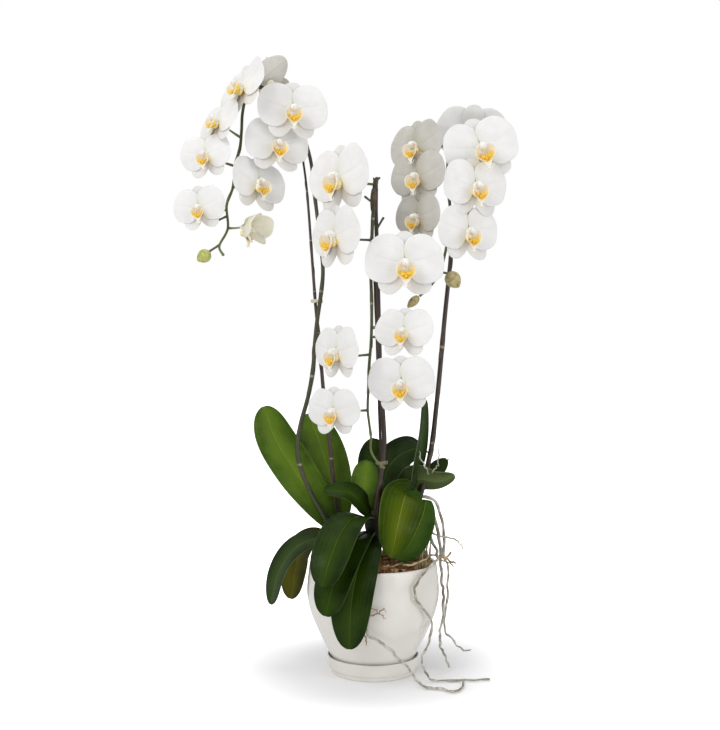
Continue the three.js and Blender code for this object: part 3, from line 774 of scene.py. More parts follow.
@dataclass(frozen=True)
class PetalFinish:
    """White petal tissue, tinted towards the heart of the flower.

    Attributes:
        name: the material's name.
        heart: tint at the base of each petal; in the sepal and grey finishes it is painted shade.
        body: the petal's own white.
        shade: the greyer white of its veins and its mottling, and of the painted shade along the crease of
            its rib.
        reach: how far the tint spreads along the petal.
    """

    name: str
    heart: Colour = tone(232, 232, 212)
    body: Colour = tone(246, 245, 243)
    shade: Colour = tone(226, 225, 222)
    reach: float = 0.34

    def material(self) -> Material:
        """Makes the petal's skin."""
        paint = Paint(self.name)
        nodes = paint.nodes
        along, across = nodes.uv()
        veins = paint.veined(along, across, 15.0, 0.09)
        fade = nodes.band(along, 1.0, 0.15)
        rib = nodes.times(nodes.band(nodes.off_rib(across), 0.12, 0.0), fade)
        skin = paint.mottled(60.0, self.body, blended(self.body, self.shade, 0.35))
        skin = nodes.tint(skin, nodes.times(veins, fade), 0.2, self.shade)
        # painted shade along the crease of the rib, fading towards the tip
        skin = nodes.tint(skin, rib, 0.4, self.shade)
        skin = nodes.tint(skin, nodes.band(along, self.reach, 0.02), 0.85, self.heart)
        grain = paint.grained(1300.0, 0.1, 0.48)
        height = nodes.line(rib, -0.8, nodes.line(grain, 0.3, nodes.times(veins, -0.25)))
        paint.set(Specular_IOR_Level=0.35, Sheen_Weight=0.12)
        paint.set(Subsurface_Weight=0.22, Subsurface_Scale=0.003, Subsurface_Radius=(1.0, 0.92, 0.8))
        return paint.done(skin, height, 0.22, 0.5)


@dataclass(frozen=True)
class LipFinish:
    """The lip's lobes: white, golden at the throat, with ochre flecks and pale stripes."""

    white: Colour = tone(252, 249, 236)
    gold: Colour = tone(255, 214, 70)
    fleck: Colour = tone(196, 128, 14)
    stripe: Colour = tone(196, 150, 120)

    def material(self) -> Material:
        """Makes the lobes' skin."""
        paint = Paint("lip_lobes")
        nodes = paint.nodes
        along, across = nodes.uv()
        veins = paint.veined(along, across, 7.0, 0.12)
        grain = nodes.cloud(420.0, 2.0)
        spread = nodes.line(nodes.math("POWER", nodes.off_rib(across), 4.0), 0.3, along)
        throat = nodes.band(nodes.line(grain, 0.2, spread), 0.82, 0.5)
        striped = nodes.times(veins, nodes.band(along, 1.0, 0.6))
        skin = nodes.mix(throat, nodes.tint(self.white, striped, 0.4, self.stripe), self.gold)
        flecks = nodes.band(nodes.cloud(460.0, 1.0), 0.56, 0.64)
        skin = nodes.tint(skin, nodes.times(flecks, nodes.band(spread, 0.5, 0.2)), 0.85, self.fleck)
        paint.set(Roughness=nodes.line(grain, 0.2, 0.3), Subsurface_Weight=0.15, Subsurface_Scale=0.002)
        return paint.done(skin, nodes.line(veins, -0.5, grain), 0.2, 0.5)


@dataclass(frozen=True)
class SpottedFinish:
    """A small fleshy part with spots.

    Attributes:
        name: the material's name.
        low: one body colour.
        high: the other body colour.
        spot: colour of the spots.
        cover: the noise above which a spot shows.
        scale: how fine the spots are.
    """

    name: str
    low: Colour
    high: Colour
    spot: Colour
    cover: float
    scale: float

    def material(self) -> Material:
        """Makes the skin."""
        paint = Paint(self.name)
        nodes = paint.nodes
        spots = nodes.band(nodes.cloud(self.scale, 1.0), self.cover, self.cover + 0.06)
        skin = nodes.tint(paint.mottled(240.0, self.low, self.high), spots, 0.9, self.spot)
        grain = paint.grained(1100.0, 0.12, 0.3)
        return paint.done(skin, grain, 0.12, 0.5, Subsurface_Weight=0.12, Subsurface_Scale=0.002)


@dataclass(frozen=True)
class StemFinish:
    """A flower stem: its colour changes along it and each node has a pale ring.

    Attributes:
        name: the material's name.
        stops: colours along the stem.
        joints: number of nodes along it.
        shadow: the dark of its mottling.
        light: the light of its mottling.
        streak: colour of the fine lines along it.
        ring: colour of the rings.
    """

    name: str
    stops: tuple[tuple[float, Colour], ...]
    joints: float = JOINTS
    shadow: Colour = tone(70, 62, 58)
    light: Colour = tone(190, 185, 180)
    streak: Colour = tone(110, 104, 70)
    ring: Colour = tone(176, 164, 140)

    def material(self) -> Material:
        """Makes the stem's skin."""
        paint = Paint(self.name)
        nodes = paint.nodes
        along, around = nodes.uv()
        drift = nodes.line(nodes.cloud(26.0), 0.12, along)
        skin = nodes.ramp(nodes.math("SUBTRACT", drift, 0.06), self.stops)
        beat = nodes.math("FRACT", nodes.line(along, self.joints, 0.5))
        rings = nodes.band(nodes.math("ABSOLUTE", nodes.math("SUBTRACT", beat, 0.5)), 0.018, 0.006)
        rings = nodes.times(rings, nodes.band(nodes.cloud(300.0), 0.3, 0.55))
        streaks = paint.veined(along, around, 9.0, 0.2)
        mottled = paint.mottled(160.0, self.shadow, self.light)
        skin = nodes.mix(0.35, skin, nodes.mix(1.0, skin, mottled, "MULTIPLY"))
        skin = nodes.tint(skin, streaks, 0.14, self.streak)
        skin = nodes.tint(skin, rings, 0.75, self.ring)
        grain = paint.grained(800.0, 0.16, 0.32)
        return paint.done(skin, nodes.line(streaks, 0.4, grain), 0.15, 0.5)


@dataclass(frozen=True)
class FibreFinish:
    """Dry or woody fibres: roots, the cane, ties and sheaths.

    Attributes:
        name: the material's name.
        low: darker colour.
        high: lighter colour.
        patch: colour of scattered patches.
        share: how much the patches cover, 0..1.
        rough: roughness.
        depth: depth of the relief in millimetres.
    """

    name: str
    low: Colour
    high: Colour
    patch: Colour
    share: float
    rough: float
    depth: float

    def material(self) -> Material:
        """Makes the fibres' skin."""
        paint = Paint(self.name)
        nodes = paint.nodes
        along, around = nodes.uv()
        patches = nodes.band(nodes.cloud(55.0, 4.0, 0.6), 0.5, 0.62)
        skin = nodes.tint(paint.mottled(120.0, self.low, self.high), patches, self.share, self.patch)
        streaks = paint.veined(along, around, 6.0, 0.5)
        skin = nodes.tint(skin, streaks, 0.25, self.low)
        grain = paint.grained(600.0, 0.12, self.rough)
        return paint.done(skin, nodes.line(streaks, -0.4, grain), self.depth, 0.7)


@dataclass(frozen=True)
class BarkFinish:
    """Coarse reddish-brown bark, each chip with its own shade."""

    dark: Colour = tone(62, 38, 22)
    middle: Colour = tone(164, 106, 64)
    light: Colour = tone(224, 182, 130)

    def material(self) -> Material:
        """Makes the bark."""
        paint = Paint("coarse_bark")
        nodes = paint.nodes
        shade = nodes.add("ShaderNodeAttribute", attribute_name="shade").outputs["Fac"]
        grain = nodes.cloud(260.0, 5.0, 0.65)
        mixed = nodes.line(grain, 0.7, nodes.line(shade, 0.7, -0.2))
        skin = nodes.ramp(mixed, [(0.15, self.dark), (0.5, self.middle), (0.9, self.light)])
        fine = paint.grained(500.0, 0.1, 0.84)
        return paint.done(skin, nodes.math("ADD", grain, fine), 1.2, 0.8)


# ---- pot, saucer and growing medium -------------------------------------------------


@dataclass(frozen=True)
class Turned:
    """A thrown piece, drawn up ring by ring from its foot.

    Attributes:
        name: the piece's name.
        foot: radius and height of the first ring.
        rings: radius and height of each ring after it; the last one is the floor inside.
        sides: divisions round it.
    """

    name: str
    foot: tuple[float, float]
    rings: Rings
    sides: int = 128

    def build(self) -> Object:
        """Makes the closed body."""
        deselect()
        radius, height = self.foot
        bpy.ops.mesh.primitive_circle_add(
            vertices=self.sides, radius=radius * MM, fill_type="NGON", location=(0, 0, height * MM)
        )
        obj = begun(self.name)
        with editing(obj):
            for next_radius, next_height in self.rings:
                rise = (next_height - height) * MM
                bpy.ops.mesh.extrude_region_move(TRANSFORM_OT_translate={"value": (0, 0, rise)})
                share = next_radius / radius
                middle = (0, 0, next_height * MM)
                bpy.ops.transform.resize(value=(share, share, 1), center_override=middle)
                radius, height = next_radius, next_height
            bpy.ops.mesh.select_all(action="SELECT")
            bpy.ops.mesh.normals_make_consistent(inside=False)
        smooth(obj, 38)
        return obj


def eased(rings: Rings, steps: int) -> Rings:
    """A profile drawn smoothly through rings of radius and height."""
    line = Course([(radius, height, 0.0) for radius, height in rings])
    count = steps * (len(rings) - 1)
    places = [line.at(i / count) for i in range(count + 1)]
    return tuple((place.x, place.y) for place in places)


@dataclass(frozen=True)
class Pot:
    """The bulging glazed pot and the saucer that it stands in: radius and height of rings."""

    foot: Rings = ((46.6, 4.3), (47.4, 4.5), (47.8, 5.2))
    wall: Rings = (
        (47.0, 4.3), (53.6, 20.0), (61.0, 35.0), (70.5, 55.0), (78.5, 74.0),
        (82.8, 92.0), (83.2, 108.0), (80.4, 133.5),
    )
    rim: Rings = (
        (80.0, 135.6), (79.2, 136.6), (78.0, 137.0), (77.0, 136.9), (76.1, 136.3), (75.6, 135.2),
    )
    inside: Rings = ((77.8, 91.0), (63.4, 50.0), (48.6, 19.3), (43.0, 9.3))
    saucer: Rings = (
        (52.3, 0.0), (52.9, 0.35), (53.1, 1.0), (53.4, 4.2), (54.2, 5.0), (55.6, 6.2),
        (56.6, 8.4), (57.2, 11.0), (58.0, 19.4), (57.9, 20.3), (57.4, 20.9), (56.9, 21.0),
        (56.4, 20.6), (56.0, 19.6), (52.9, 5.4), (52.2, 4.4), (51.0, 4.0),
    )

    def build(self, glaze: Material) -> None:
        """Makes and hands over both pieces.

        Args:
            glaze: their finish.
        """
        pot = self.foot + eased(self.wall, 5)[1:] + self.rim + self.inside
        for node, (foot, *rings) in (("pot", pot), ("saucer", self.saucer)):
            piece = Turned(f"glazed_{node}", foot, tuple(rings)).build()
            ship(dress(piece, glaze), Slot.GLAZE, node)


@dataclass
class GrowingMedium:
    """The bark in the pot: a lumpy mound with loose chips and pale fibres on it.

    Attributes:
        reach: radius of the mound.
        level: its height at the wall.
        mound: how much higher its middle is.
        brink: the height above which the bed is the mound.
        terraces: rings of faces on the mound.
        rings: radius and height of the bed's rings below it, from its foot up.
        chip_sizes: length, width and thickness of each kind of chip.
        chips: number of loose chips.
        chip_edge: radius that holds them.
        fibres: number of fibres that lie on the chips.
        fibre_edge: radius that holds their middles.
        tangle: number of fibres that stand at the right rim.
        tangle_edge: radius that holds their feet.
        seed: of all that is scattered.
    """

    reach: float = 75.0
    level: float = 131.0
    mound: float = 5.0
    brink: float = 129.0
    terraces: int = 7
    rings: Rings = ((42.2, 9.65), (42.6, 9.8), (48.2, 19.6), (63.0, 50.0), (77.2, 92.0), (74.9, 130.4))
    chip_sizes: tuple[Triple, ...] = ((15, 8, 4), (11, 7, 3.4), (19, 7, 3), (9, 8, 5))
    chips: int = 420
    chip_edge: float = 67.0
    fibres: int = 84
    fibre_edge: float = 58.0
    tangle: int = 70
    tangle_edge: float = 73.0
    seed: int = 11
    chance: random.Random = field(init=False)

    def __post_init__(self) -> None:
        """Starts the seeded chance."""
        self.chance = random.Random(self.seed)

    def height(self, x: float, y: float) -> float:
        """The height of the mound at a place, in millimetres."""
        lumps = 1.6 * math.sin(0.21 * x + 0.7) * math.cos(0.24 * y)
        lumps += 1.1 * math.sin(0.43 * y - 0.31 * x)
        heap = 7.0 * math.exp(-((x - 30) ** 2 + (y + 6) ** 2) / 900)
        share = (x * x + y * y) / self.reach**2
        return self.level + self.mound * (1 - share) + lumps * (1 - 0.5 * share) + heap

    def bed(self) -> Object:
        """The closed mound that fills the pot."""
        obj = Turned("bark_bed", self.rings[0], self.rings[1:], sides=72).build()
        brink = self.brink * MM
        with editing(obj, lambda face: face.center.z > brink and face.normal.z > 0.9):
            for _ in range(self.terraces):
                bpy.ops.mesh.inset(thickness=self.reach * MM * 0.1, depth=0)
        for vertex in obj.data.vertices:
            if vertex.co.z > brink:
                vertex.co.z = self.height(vertex.co.x / MM, vertex.co.y / MM) * MM
        smooth(obj)
        return obj

    def chip_kinds(self) -> list[Object]:
        """The kinds of bark chip, each made once."""
        kinds = []
        for sizes in self.chip_sizes:
            deselect()
            bpy.ops.mesh.primitive_cube_add(size=MM, location=(0, 0, 0))
            bpy.context.active_object.scale = sizes
            obj = begun("chip")
            with editing(obj):
                bpy.ops.mesh.subdivide(number_cuts=1, smoothness=0.0)
            for vertex in obj.data.vertices:
                vertex.co += Vector([self.chance.uniform(-0.13, 0.13) * size * MM for size in sizes])
            kinds.append(obj)
        return kinds

    def spot(self, edge: float) -> tuple[float, float]:
        """A place on the mound within a radius, more often on its open right side."""
        turn = self.chance.uniform(0, 2 * math.pi)
        far = edge * math.sqrt(self.chance.random())
        x, y = far * math.cos(turn), far * math.sin(turn)
        if x < 0 and self.chance.random() < 0.35:
            x = -x
        return x, y

    def within(self, x: float, y: float, edge: float) -> tuple[float, float]:
        """A place, drawn in to a radius if it lies outside it."""
        over = max(1.0, math.hypot(x, y) / edge)
        return x / over, y / over

    def shift(self, *ranges: tuple[float, float]) -> Vector:
        """A random move: between two lengths in each direction that is given."""
        return Vector([self.chance.uniform(low, high) for low, high in ranges]).to_3d()

    def scatter(self) -> Object:
        """The loose chips, as one piece."""
        kinds = self.chip_kinds()
        chips = []
        for _ in range(self.chips):
            chip = own_copy(self.chance.choice(kinds), "chip")
            x, y = self.spot(self.chip_edge)
            tilt = [self.chance.gauss(0, 0.34), self.chance.gauss(0, 0.34)]
            turn = Matrix.Rotation(self.chance.uniform(0, 6.28), 4, "Z")
            lean = Matrix.Rotation(tilt[0], 4, "X") @ Matrix.Rotation(tilt[1], 4, "Y")
            rise = self.height(x, y) + self.chance.uniform(-0.6, 2.4)
            size = Matrix.Scale(self.chance.uniform(0.6, 1.1), 4)
            place = Matrix.Translation(Vector((x, y, rise)) * MM)
            chip.data.transform(place @ turn @ lean @ size)
            shade = chip.data.attributes.new("shade", "FLOAT", "POINT")
            value = self.chance.random()
            for item in shade.data:
                item.value = value
            chips.append(chip)
        for kind in kinds:
            bpy.data.objects.remove(kind)
        obj = join(chips, "bark_chips")
        smooth(obj, 28)
        return obj

    def lying_fibre(self, i: int) -> Tube:
        """A thin old root over the chips; each second one arches higher, on the right."""
        x, y = self.spot(self.fibre_edge)
        if i % 2:
            x, y = self.chance.uniform(34, 62), self.chance.uniform(-40, 4)
        heading = self.chance.uniform(0, 2 * math.pi)
        arch = 3.4 + 4.0 * (i % 2)
        points = []
        for step in range(5):
            lift = 2.8 + arch * math.sin(math.pi * step / 4) + self.chance.uniform(-0.8, 0.8)
            points.append((x, y, self.height(x, y) + lift))
            heading += self.chance.uniform(-0.7, 0.7)
            x, y = self.within(x + 6.5 * math.cos(heading), y + 6.5 * math.sin(heading), 70)
        thick = self.chance.uniform(0.4, 0.85)
        return Tube(Course(points), taper(thick, 0.5 * thick), 10, 6)

    def standing_fibre(self) -> Tube:
        """A thin old root that stands up at the right rim."""
        x, y = self.chance.uniform(54, 72), self.chance.uniform(-40, -8)
        x, y = self.within(x, y, self.tangle_edge)
        low = Vector((x, y, self.height(x, y) + 1))
        high = low + self.shift((-10, 5), (0, 14), (8, 40))
        knee = low.lerp(high, 0.5) + self.shift((-5, 5), (-4, 2))
        thick = self.chance.uniform(0.6, 1.15)
        return Tube(Bow([low, knee, high]), taper(thick, 0.4 * thick), 10, 6)

    def threads(self) -> Object:
        """The pale old roots, lying and standing, as one piece."""
        parts = [self.lying_fibre(i).build("lying") for i in range(self.fibres)]
        parts += [self.standing_fibre().build("standing") for _ in range(self.tangle)]
        return join(parts, "bark_threads")

    def build(self, bark: Material, fibre: Material) -> None:
        """Makes and hands over the bed, the chips and the fibres.

        Args:
            bark: finish of bed and chips.
            fibre: finish of the old roots.
        """
        for obj, finish in ((self.bed(), bark), (self.scatter(), bark), (self.threads(), fibre)):
            ship(dress(obj, finish), Slot.BARK, "growing_medium")


# ---- flower stems ----------------------------------------------------------------------


@dataclass(frozen=True)
class Bud:
    """A closed bud: where it sits, its long axis, its length and its radius."""

    at: Triple
    axis: Triple
    length: float
    radius: float

    def swell(self, share: float) -> float:
        """The bud's radius along it: full below the middle, a blunt point above."""
        return self.radius * max(0.18, math.sin(math.pi * min(1.0, 0.06 + 0.92 * share) ** 0.9)) ** 0.72

    def build(self, name: str) -> Object:
        """Makes the bud."""
        at, half = Vector(self.at), Vector(self.axis).normalized() * (self.length / 2)
        return Tube(Course([at - half, at, at + half]), self.swell, 22, 18).build(name)


@dataclass(frozen=True)
class FlowerStem:
    """One flower stem with its side stubs and buds.

    Attributes:
        node: the CAD node.
        radii: radius at its base and at its tip.
        points: its course.
        stops: colours along it.
        stubs: start and end of each side stub.
        buds: its closed buds.
        sheaths: shares along it where a small dry sheath sits.
        wraps: the ends and the radius of each thick old sheath wrapped round it.
    """

    node: str
    radii: tuple[float, float]
    points: tuple[Triple, ...]
    stops: tuple[tuple[float, Colour], ...]
    stubs: tuple[tuple[Triple, Triple], ...] = ()
    buds: tuple[Bud, ...] = ()
    sheaths: tuple[float, ...] = ()
    wraps: tuple[tuple[Triple, Triple, float], ...] = ()

    def radius(self, share: float) -> float:
        """The stem's radius, a little more at each node."""
        base, tip = self.radii
        swell = 0.35 * max(0.0, math.cos(2 * math.pi * JOINTS * share)) ** 8
        return base + (tip - base) * share + swell

    def sheath(self, course: Course, share: float, way: int) -> Object:
        """A small pointed sheath that hugs the stem above a node.

        Args:
            course: the stem's course.
            share: where along it the sheath sits.
            way: 1 or -1 for the side of the stem.

        Returns:
            The sheath.
        """
        along = course.along(share)
        side = along.cross(Vector((0, 1, 0.2))).normalized() * way
        front = side.cross(along).normalized()
        face = (side * 0.8 - front * 0.6 * way).normalized()
        out = self.radius(share) + 0.1
        rib = []
        for ahead, up, off in ((0.0, 0, -0.5), (0.004, 4, 0.5), (0.008, 8, 0.3)):
            rib.append(course.at(min(1.0, share + ahead)) + along * up + face * (out + off))
        half = rounded(2 * out, 0.9, 0.3, 1.0, 1.4)
        return Sheet(Bow(rib), face, half, 0.35, 6, 6, cup=-0.55, levels=0).build("sheath")

    def stalk(self, course: Course, green: Material) -> Object:
        """The stem with its side stubs.

        Args:
            course: the stem's course.
            green: finish of the stubs.

        Returns:
            The joined stalk, dressed.
        """
        main = Tube(course, self.radius, len(self.points) * 7, 14).build("main")
        parts = [dress(main, StemFinish(f"{self.node}_skin", self.stops).material())]
        for ends in self.stubs:
            stub = Tube(Course(ends), lambda t: 1.4 + 0.5 * (1 - t) ** 4 + 0.4 * t**6, 8, 10)
            parts.append(dress(stub.build("stub"), green))
        return join(parts, f"{self.node}_stalk")

    def worn(self, course: Course) -> Object:
        """The dry sheaths, the small and the wrapped ones, as one piece."""
        parts = [self.sheath(course, share, 1 if i % 2 else -1) for i, share in enumerate(self.sheaths)]
        for low, high, thick in self.wraps:

            def swell(t: float, full: float = thick) -> float:
                """The radius of the wrapped sheath, full in its middle."""
                return full * (0.55 + 0.45 * math.sin(math.pi * t) ** 0.7)

            parts.append(Tube(Course([low, high]), swell, 14, 12).build("wrap"))
        return join(parts, f"{self.node}_sheaths")

    def build(self, dry: Material, bud_skin: Material, green: Material) -> None:
        """Makes and hands over the stem, its sheaths and its buds.

        Args:
            dry: finish of the sheaths.
            bud_skin: finish of the buds.
            green: finish of the side stubs.
        """
        course = Course(self.points)
        ship(self.stalk(course, green), Slot.STEM, self.node)
        ship(dress(self.worn(course), dry), Slot.STEM, self.node)
        for i, bud in enumerate(self.buds):
            ship(dress(bud.build(f"{self.node}_bud_{i + 1}"), bud_skin), Slot.STEM, self.node)


PLUM = tone(72, 56, 52)
DARK_GREEN = tone(64, 72, 40)
MID_GREEN = tone(92, 104, 56)
FRESH_GREEN = tone(120, 134, 72)
BROWN = tone(66, 50, 40)

STEMS = (
    FlowerStem(
        node="stem_left_outer",
        radii=(3.1, 1.5),
        points=(
            (-49, 0, 160), (-61, -8, 192), (-78, -14, 225), (-90, -16, 254), (-95, -14, 282),
            (-91, -8, 311), (-82, -4, 345), (-76, 0, 379), (-74, 4, 410), (-71, 8, 442),
            (-67, 12, 471), (-64, 16, 504), (-67, 22, 540), (-72, 28, 579), (-76, 34, 611),
            (-80, 38, 647), (-87, 42, 675), (-97, 44, 704), (-113, 44, 729), (-133, 42, 744),
            (-152, 38, 746), (-164, 34, 734), (-169, 32, 712), (-170, 30, 689), (-172, 28, 665),
            (-178, 26, 644), (-179, 24, 626), (-181, 22, 611), (-188, 20, 590), (-186, 16, 560),
            (-196, 10, 537), (-190, 6, 524),
        ),
        stubs=(((-187, 17, 576), (-200, 12, 569)), ((-195, 11, 539), (-209, 6, 529))),
        buds=(Bud((-215, 4, 523), (-1, -0.2, -0.7), 20, 8.6),),
        stops=(
            (0.0, tone(58, 52, 38)), (0.06, DARK_GREEN), (0.5, tone(70, 66, 44)),
            (0.8, MID_GREEN), (1.0, FRESH_GREEN),
        ),
        sheaths=(0.085, 0.24, 0.4, 0.53, 0.62),
    ),
    FlowerStem(
        node="stem_left_inner",
        radii=(3.0, 1.2),
        points=(
            (-42, 8, 160), (-45, 14, 192), (-51, 16, 240), (-56, 14, 292), (-63, 10, 350),
            (-68, 14, 410), (-73, 20, 455), (-76, 26, 490), (-80, 34, 540), (-84, 42, 590),
            (-88, 48, 630), (-94, 50, 668), (-102, 46, 700),
        ),
        stops=((0.0, BROWN), (0.35, tone(84, 62, 60)), (0.75, PLUM), (1.0, DARK_GREEN)),
        sheaths=(0.17, 0.37, 0.6, 0.8),
    ),
    FlowerStem(
        node="stem_centre",
        radii=(3.4, 1.3),
        points=(
            (-1, -6, 160), (2, -12, 196), (6, -12, 226), (11, -10, 253), (14, -6, 284),
            (13, 0, 315), (11, 6, 347), (9, 10, 385), (8, 14, 423), (7, 18, 468),
            (6, 20, 507), (5, 20, 546), (4, 18, 581), (4, 12, 606), (3, 2, 619),
            (2, -9, 612), (1, -15, 588), (-1, -17, 560), (-2, -18, 530), (-3, -19, 500),
            (-2, -20, 466), (-2, -22, 435), (-3, -24, 410), (-5, -26, 386), (-6, -28, 358),
            (-7, -30, 331), (-5, -32, 312), (-3, -34, 296), (-3, -36, 280), (4, -38, 267),
            (14, -40, 258),
        ),
        stubs=(
            ((4, 18, 590), (-11, 13, 601)), ((5, 20, 560), (14, 12, 574)),
            ((-2, -18, 541), (-27, -24, 541)), ((-4, -25, 398), (-24, -30, 396)),
            ((-7, -30, 329), (-30, -34, 328)),
        ),
        stops=(
            (0.0, BROWN), (0.3, PLUM), (0.48, tone(52, 40, 38)), (0.56, DARK_GREEN),
            (0.8, MID_GREEN), (1.0, FRESH_GREEN),
        ),
        sheaths=(0.07, 0.22, 0.33, 0.45, 0.58, 0.72),
        wraps=(
            ((0, -14, 576), (1, -14, 607), 4.3), ((1, -9, 604), (5, -6, 622), 3.2),
            ((1, -10, 616), (9, -8, 621), 1.8),
        ),
    ),
    FlowerStem(
        node="stem_right",
        radii=(3.4, 1.4),
        points=(
            (50, 16, 180), (62, 14, 222), (70, 10, 257), (76, 8, 289), (80, 8, 325),
            (84, 10, 362), (88, 12, 404), (92, 16, 445), (96, 20, 481), (100, 24, 517),
            (104, 28, 552), (109, 34, 592), (113, 38, 624), (115, 38, 653), (113, 34, 673),
            (108, 26, 684), (102, 14, 680), (97, 5, 664), (95, 0, 642), (94, -3, 621),
            (95, -4, 603), (97, -5, 584), (96, -6, 561), (93, -8, 539), (89, -10, 519),
            (84, -12, 502), (76, -13, 489), (67, -14, 479), (58, -15, 471),
        ),
        stubs=(((84, -12, 502), (95, -16, 499)),),
        buds=(
            Bud((100, -18, 491), (0.5, -0.3, -0.7), 24, 10),
            Bud((50, -16, 464), (-0.8, 0, -0.8), 20, 5.5),
        ),
        stops=((0.0, BROWN), (0.25, PLUM), (0.5, tone(62, 46, 42)), (0.72, DARK_GREEN), (1.0, FRESH_GREEN)),
        sheaths=(0.08, 0.2, 0.31, 0.43),
    ),
)


@dataclass(frozen=True)
class Supports:
    """The cane behind the centre stem and the ties that hold stems to a neighbour.

    Attributes:
        cane: its course.
        ties: the CAD node, the middle, and half the width and depth of each tie.
        wall: thickness of a tie.
        height: of a tie.
        edge: how much its edges are eased.
        inset: how far the middle of its wall is inside its reach.
        ends: where each loose end goes, from the middle of its front.
    """

    cane: tuple[Triple, ...] = (
        (7, 0, 150), (10, 3, 253), (9, 7, 300), (6.5, 16, 385), (3.5, 24, 468), (1.5, 28, 520),
    )
    ties: tuple[tuple[str, Triple, tuple[float, float]], ...] = (
        ("tie_left", (-72, 19, 467), (8, 9)),
        ("tie_centre_upper", (7.5, 16.5, 433), (8.5, 8)),
        ("tie_centre_lower", (11, -2.5, 262), (8, 11)),
    )
    wall: float = 1.5
    height: int = 4
    edge: float = 0.45
    inset: float = 0.9
    ends: tuple[Triple, ...] = ((0.6, 1.2, 0.4), (3.2, 0.4, 2.2), (6.2, 1.4, 1.2))

    def band(self, at: Triple, reach: tuple[float, float]) -> Object:
        """The oval band of a tie.

        Args:
            at: its middle.
            reach: half its width and half its depth.

        Returns:
            The band.
        """
        deselect()
        size = reach[0] - self.inset
        place = Vector(at) * MM
        low = place - Vector((0, 0, self.height / 2 * MM))
        bpy.ops.mesh.primitive_circle_add(
            vertices=56, radius=size * MM, fill_type="NOTHING", location=low
        )
        obj = begun("band")
        with editing(obj):
            share = (reach[1] - self.inset) / size
            bpy.ops.transform.resize(value=(1, share, 1), center_override=tuple(place))
            for _ in range(self.height):
                bpy.ops.mesh.extrude_region_move(TRANSFORM_OT_translate={"value": (0, 0, MM)})
        wall = obj.modifiers.new("wall", "SOLIDIFY")
        wall.thickness = self.wall * MM
        wall.offset = 0
        edge = obj.modifiers.new("edge", "BEVEL")
        edge.width = self.edge * MM
        edge.segments = 3
        edge.limit_method = "ANGLE"
        apply_all(obj)
        return obj

    def tie(self, node: str, at: Triple, reach: tuple[float, float]) -> Object:
        """A flat oval clip: a band round the two stems with two loose ends in front.

        Args:
            node: the CAD node.
            at: its middle.
            reach: half its width and half its depth.

        Returns:
            The clip.
        """
        parts = [self.band(at, reach)]
        for way in (-1, 1):
            points = [(at[0] + way * x, at[1] - reach[1] + y, at[2] + way * z) for x, y, z in self.ends]
            parts.append(Tube(Course(points), taper(0.75, 0.5), 10, 8).build("end"))
        whole = join(parts, f"{node}_clip")
        smooth(whole, 40)
        return whole

    def build(self, cane_skin: Material, tie_skin: Material, worn_skin: Material) -> None:
        """Makes and hands over the cane and the ties.

        Args:
            cane_skin: the cane's finish.
            tie_skin: finish of the pale tie on the left.
            worn_skin: finish of the two weathered ties.
        """
        cane = Tube(Course(self.cane), lambda t: 1.9 + 0.12 * math.cos(40 * t), 60, 14).build("cane")
        ship(dress(cane, cane_skin), Slot.CANE, "stake_centre")
        for node, at, reach in self.ties:
            skin = tie_skin if node == "tie_left" else worn_skin
            ship(dress(self.tie(node, at, reach), skin), Slot.TIE, node)


# ---- leafy crowns, leaves and roots ------------------------------------------------------


@dataclass(frozen=True)
class Crown:
    """The short thick base of one plant, wrapped in the feet of its leaves."""

    node: str
    points: tuple[Triple, ...]
    radii: tuple[float, float]

    def radius(self, share: float) -> float:
        """The crown's radius along it, with the bulges and folds of the leaf feet."""
        low, high = self.radii
        return low + (high - low) * share + 1.5 * math.sin(9 * share) + 0.35 * math.sin(44 * share)

    def build(self, skin: Material) -> None:
        """Makes and hands over the crown.

        Args:
            skin: its finish.
        """
        obj = Tube(Course(self.points), self.radius, 56, 28).build(f"{self.node}_base")
        ship(dress(obj, skin), Slot.CROWN, self.node)


CROWNS = (
    Crown("crown_left", ((-44, 6, 122), (-47, 6, 150), (-48, 5, 186)), (9, 8)),
    Crown("crown_centre", ((0, -8, 122), (-1, -8, 160), (-1, -8, 204)), (10, 8)),
    Crown("crown_right", ((34, 12, 122), (42, 10, 170), (48, 8, 228)), (9, 8)),
)


class LeafTone(Enum):
    """The greens of the leaves: name, darkest, lighter, sunlit middle and rib."""

    OPEN = ("open_leaf", tone(46, 70, 12), tone(74, 102, 24), tone(104, 132, 36), tone(140, 160, 76))
    DEEP = ("deep_leaf", tone(16, 34, 2), tone(32, 54, 4), tone(48, 72, 8), tone(96, 116, 50))
    GREY = ("grey_leaf", tone(27, 42, 14), tone(42, 60, 24), tone(57, 76, 32), tone(120, 140, 96))
    BRIGHT = ("bright_leaf", tone(28, 50, 0), tone(46, 70, 0), tone(82, 98, 4), tone(156, 162, 50))
    OLIVE = ("olive_leaf", tone(40, 42, 8), tone(72, 72, 14), tone(92, 90, 20), tone(104, 106, 40))
    SHADED = ("shaded_leaf", tone(34, 60, 12), tone(54, 86, 20), tone(80, 110, 34), tone(120, 140, 70))
    UNDER = ("leaf_underside", tone(54, 70, 34), tone(80, 96, 52), tone(94, 108, 62), tone(126, 138, 92))


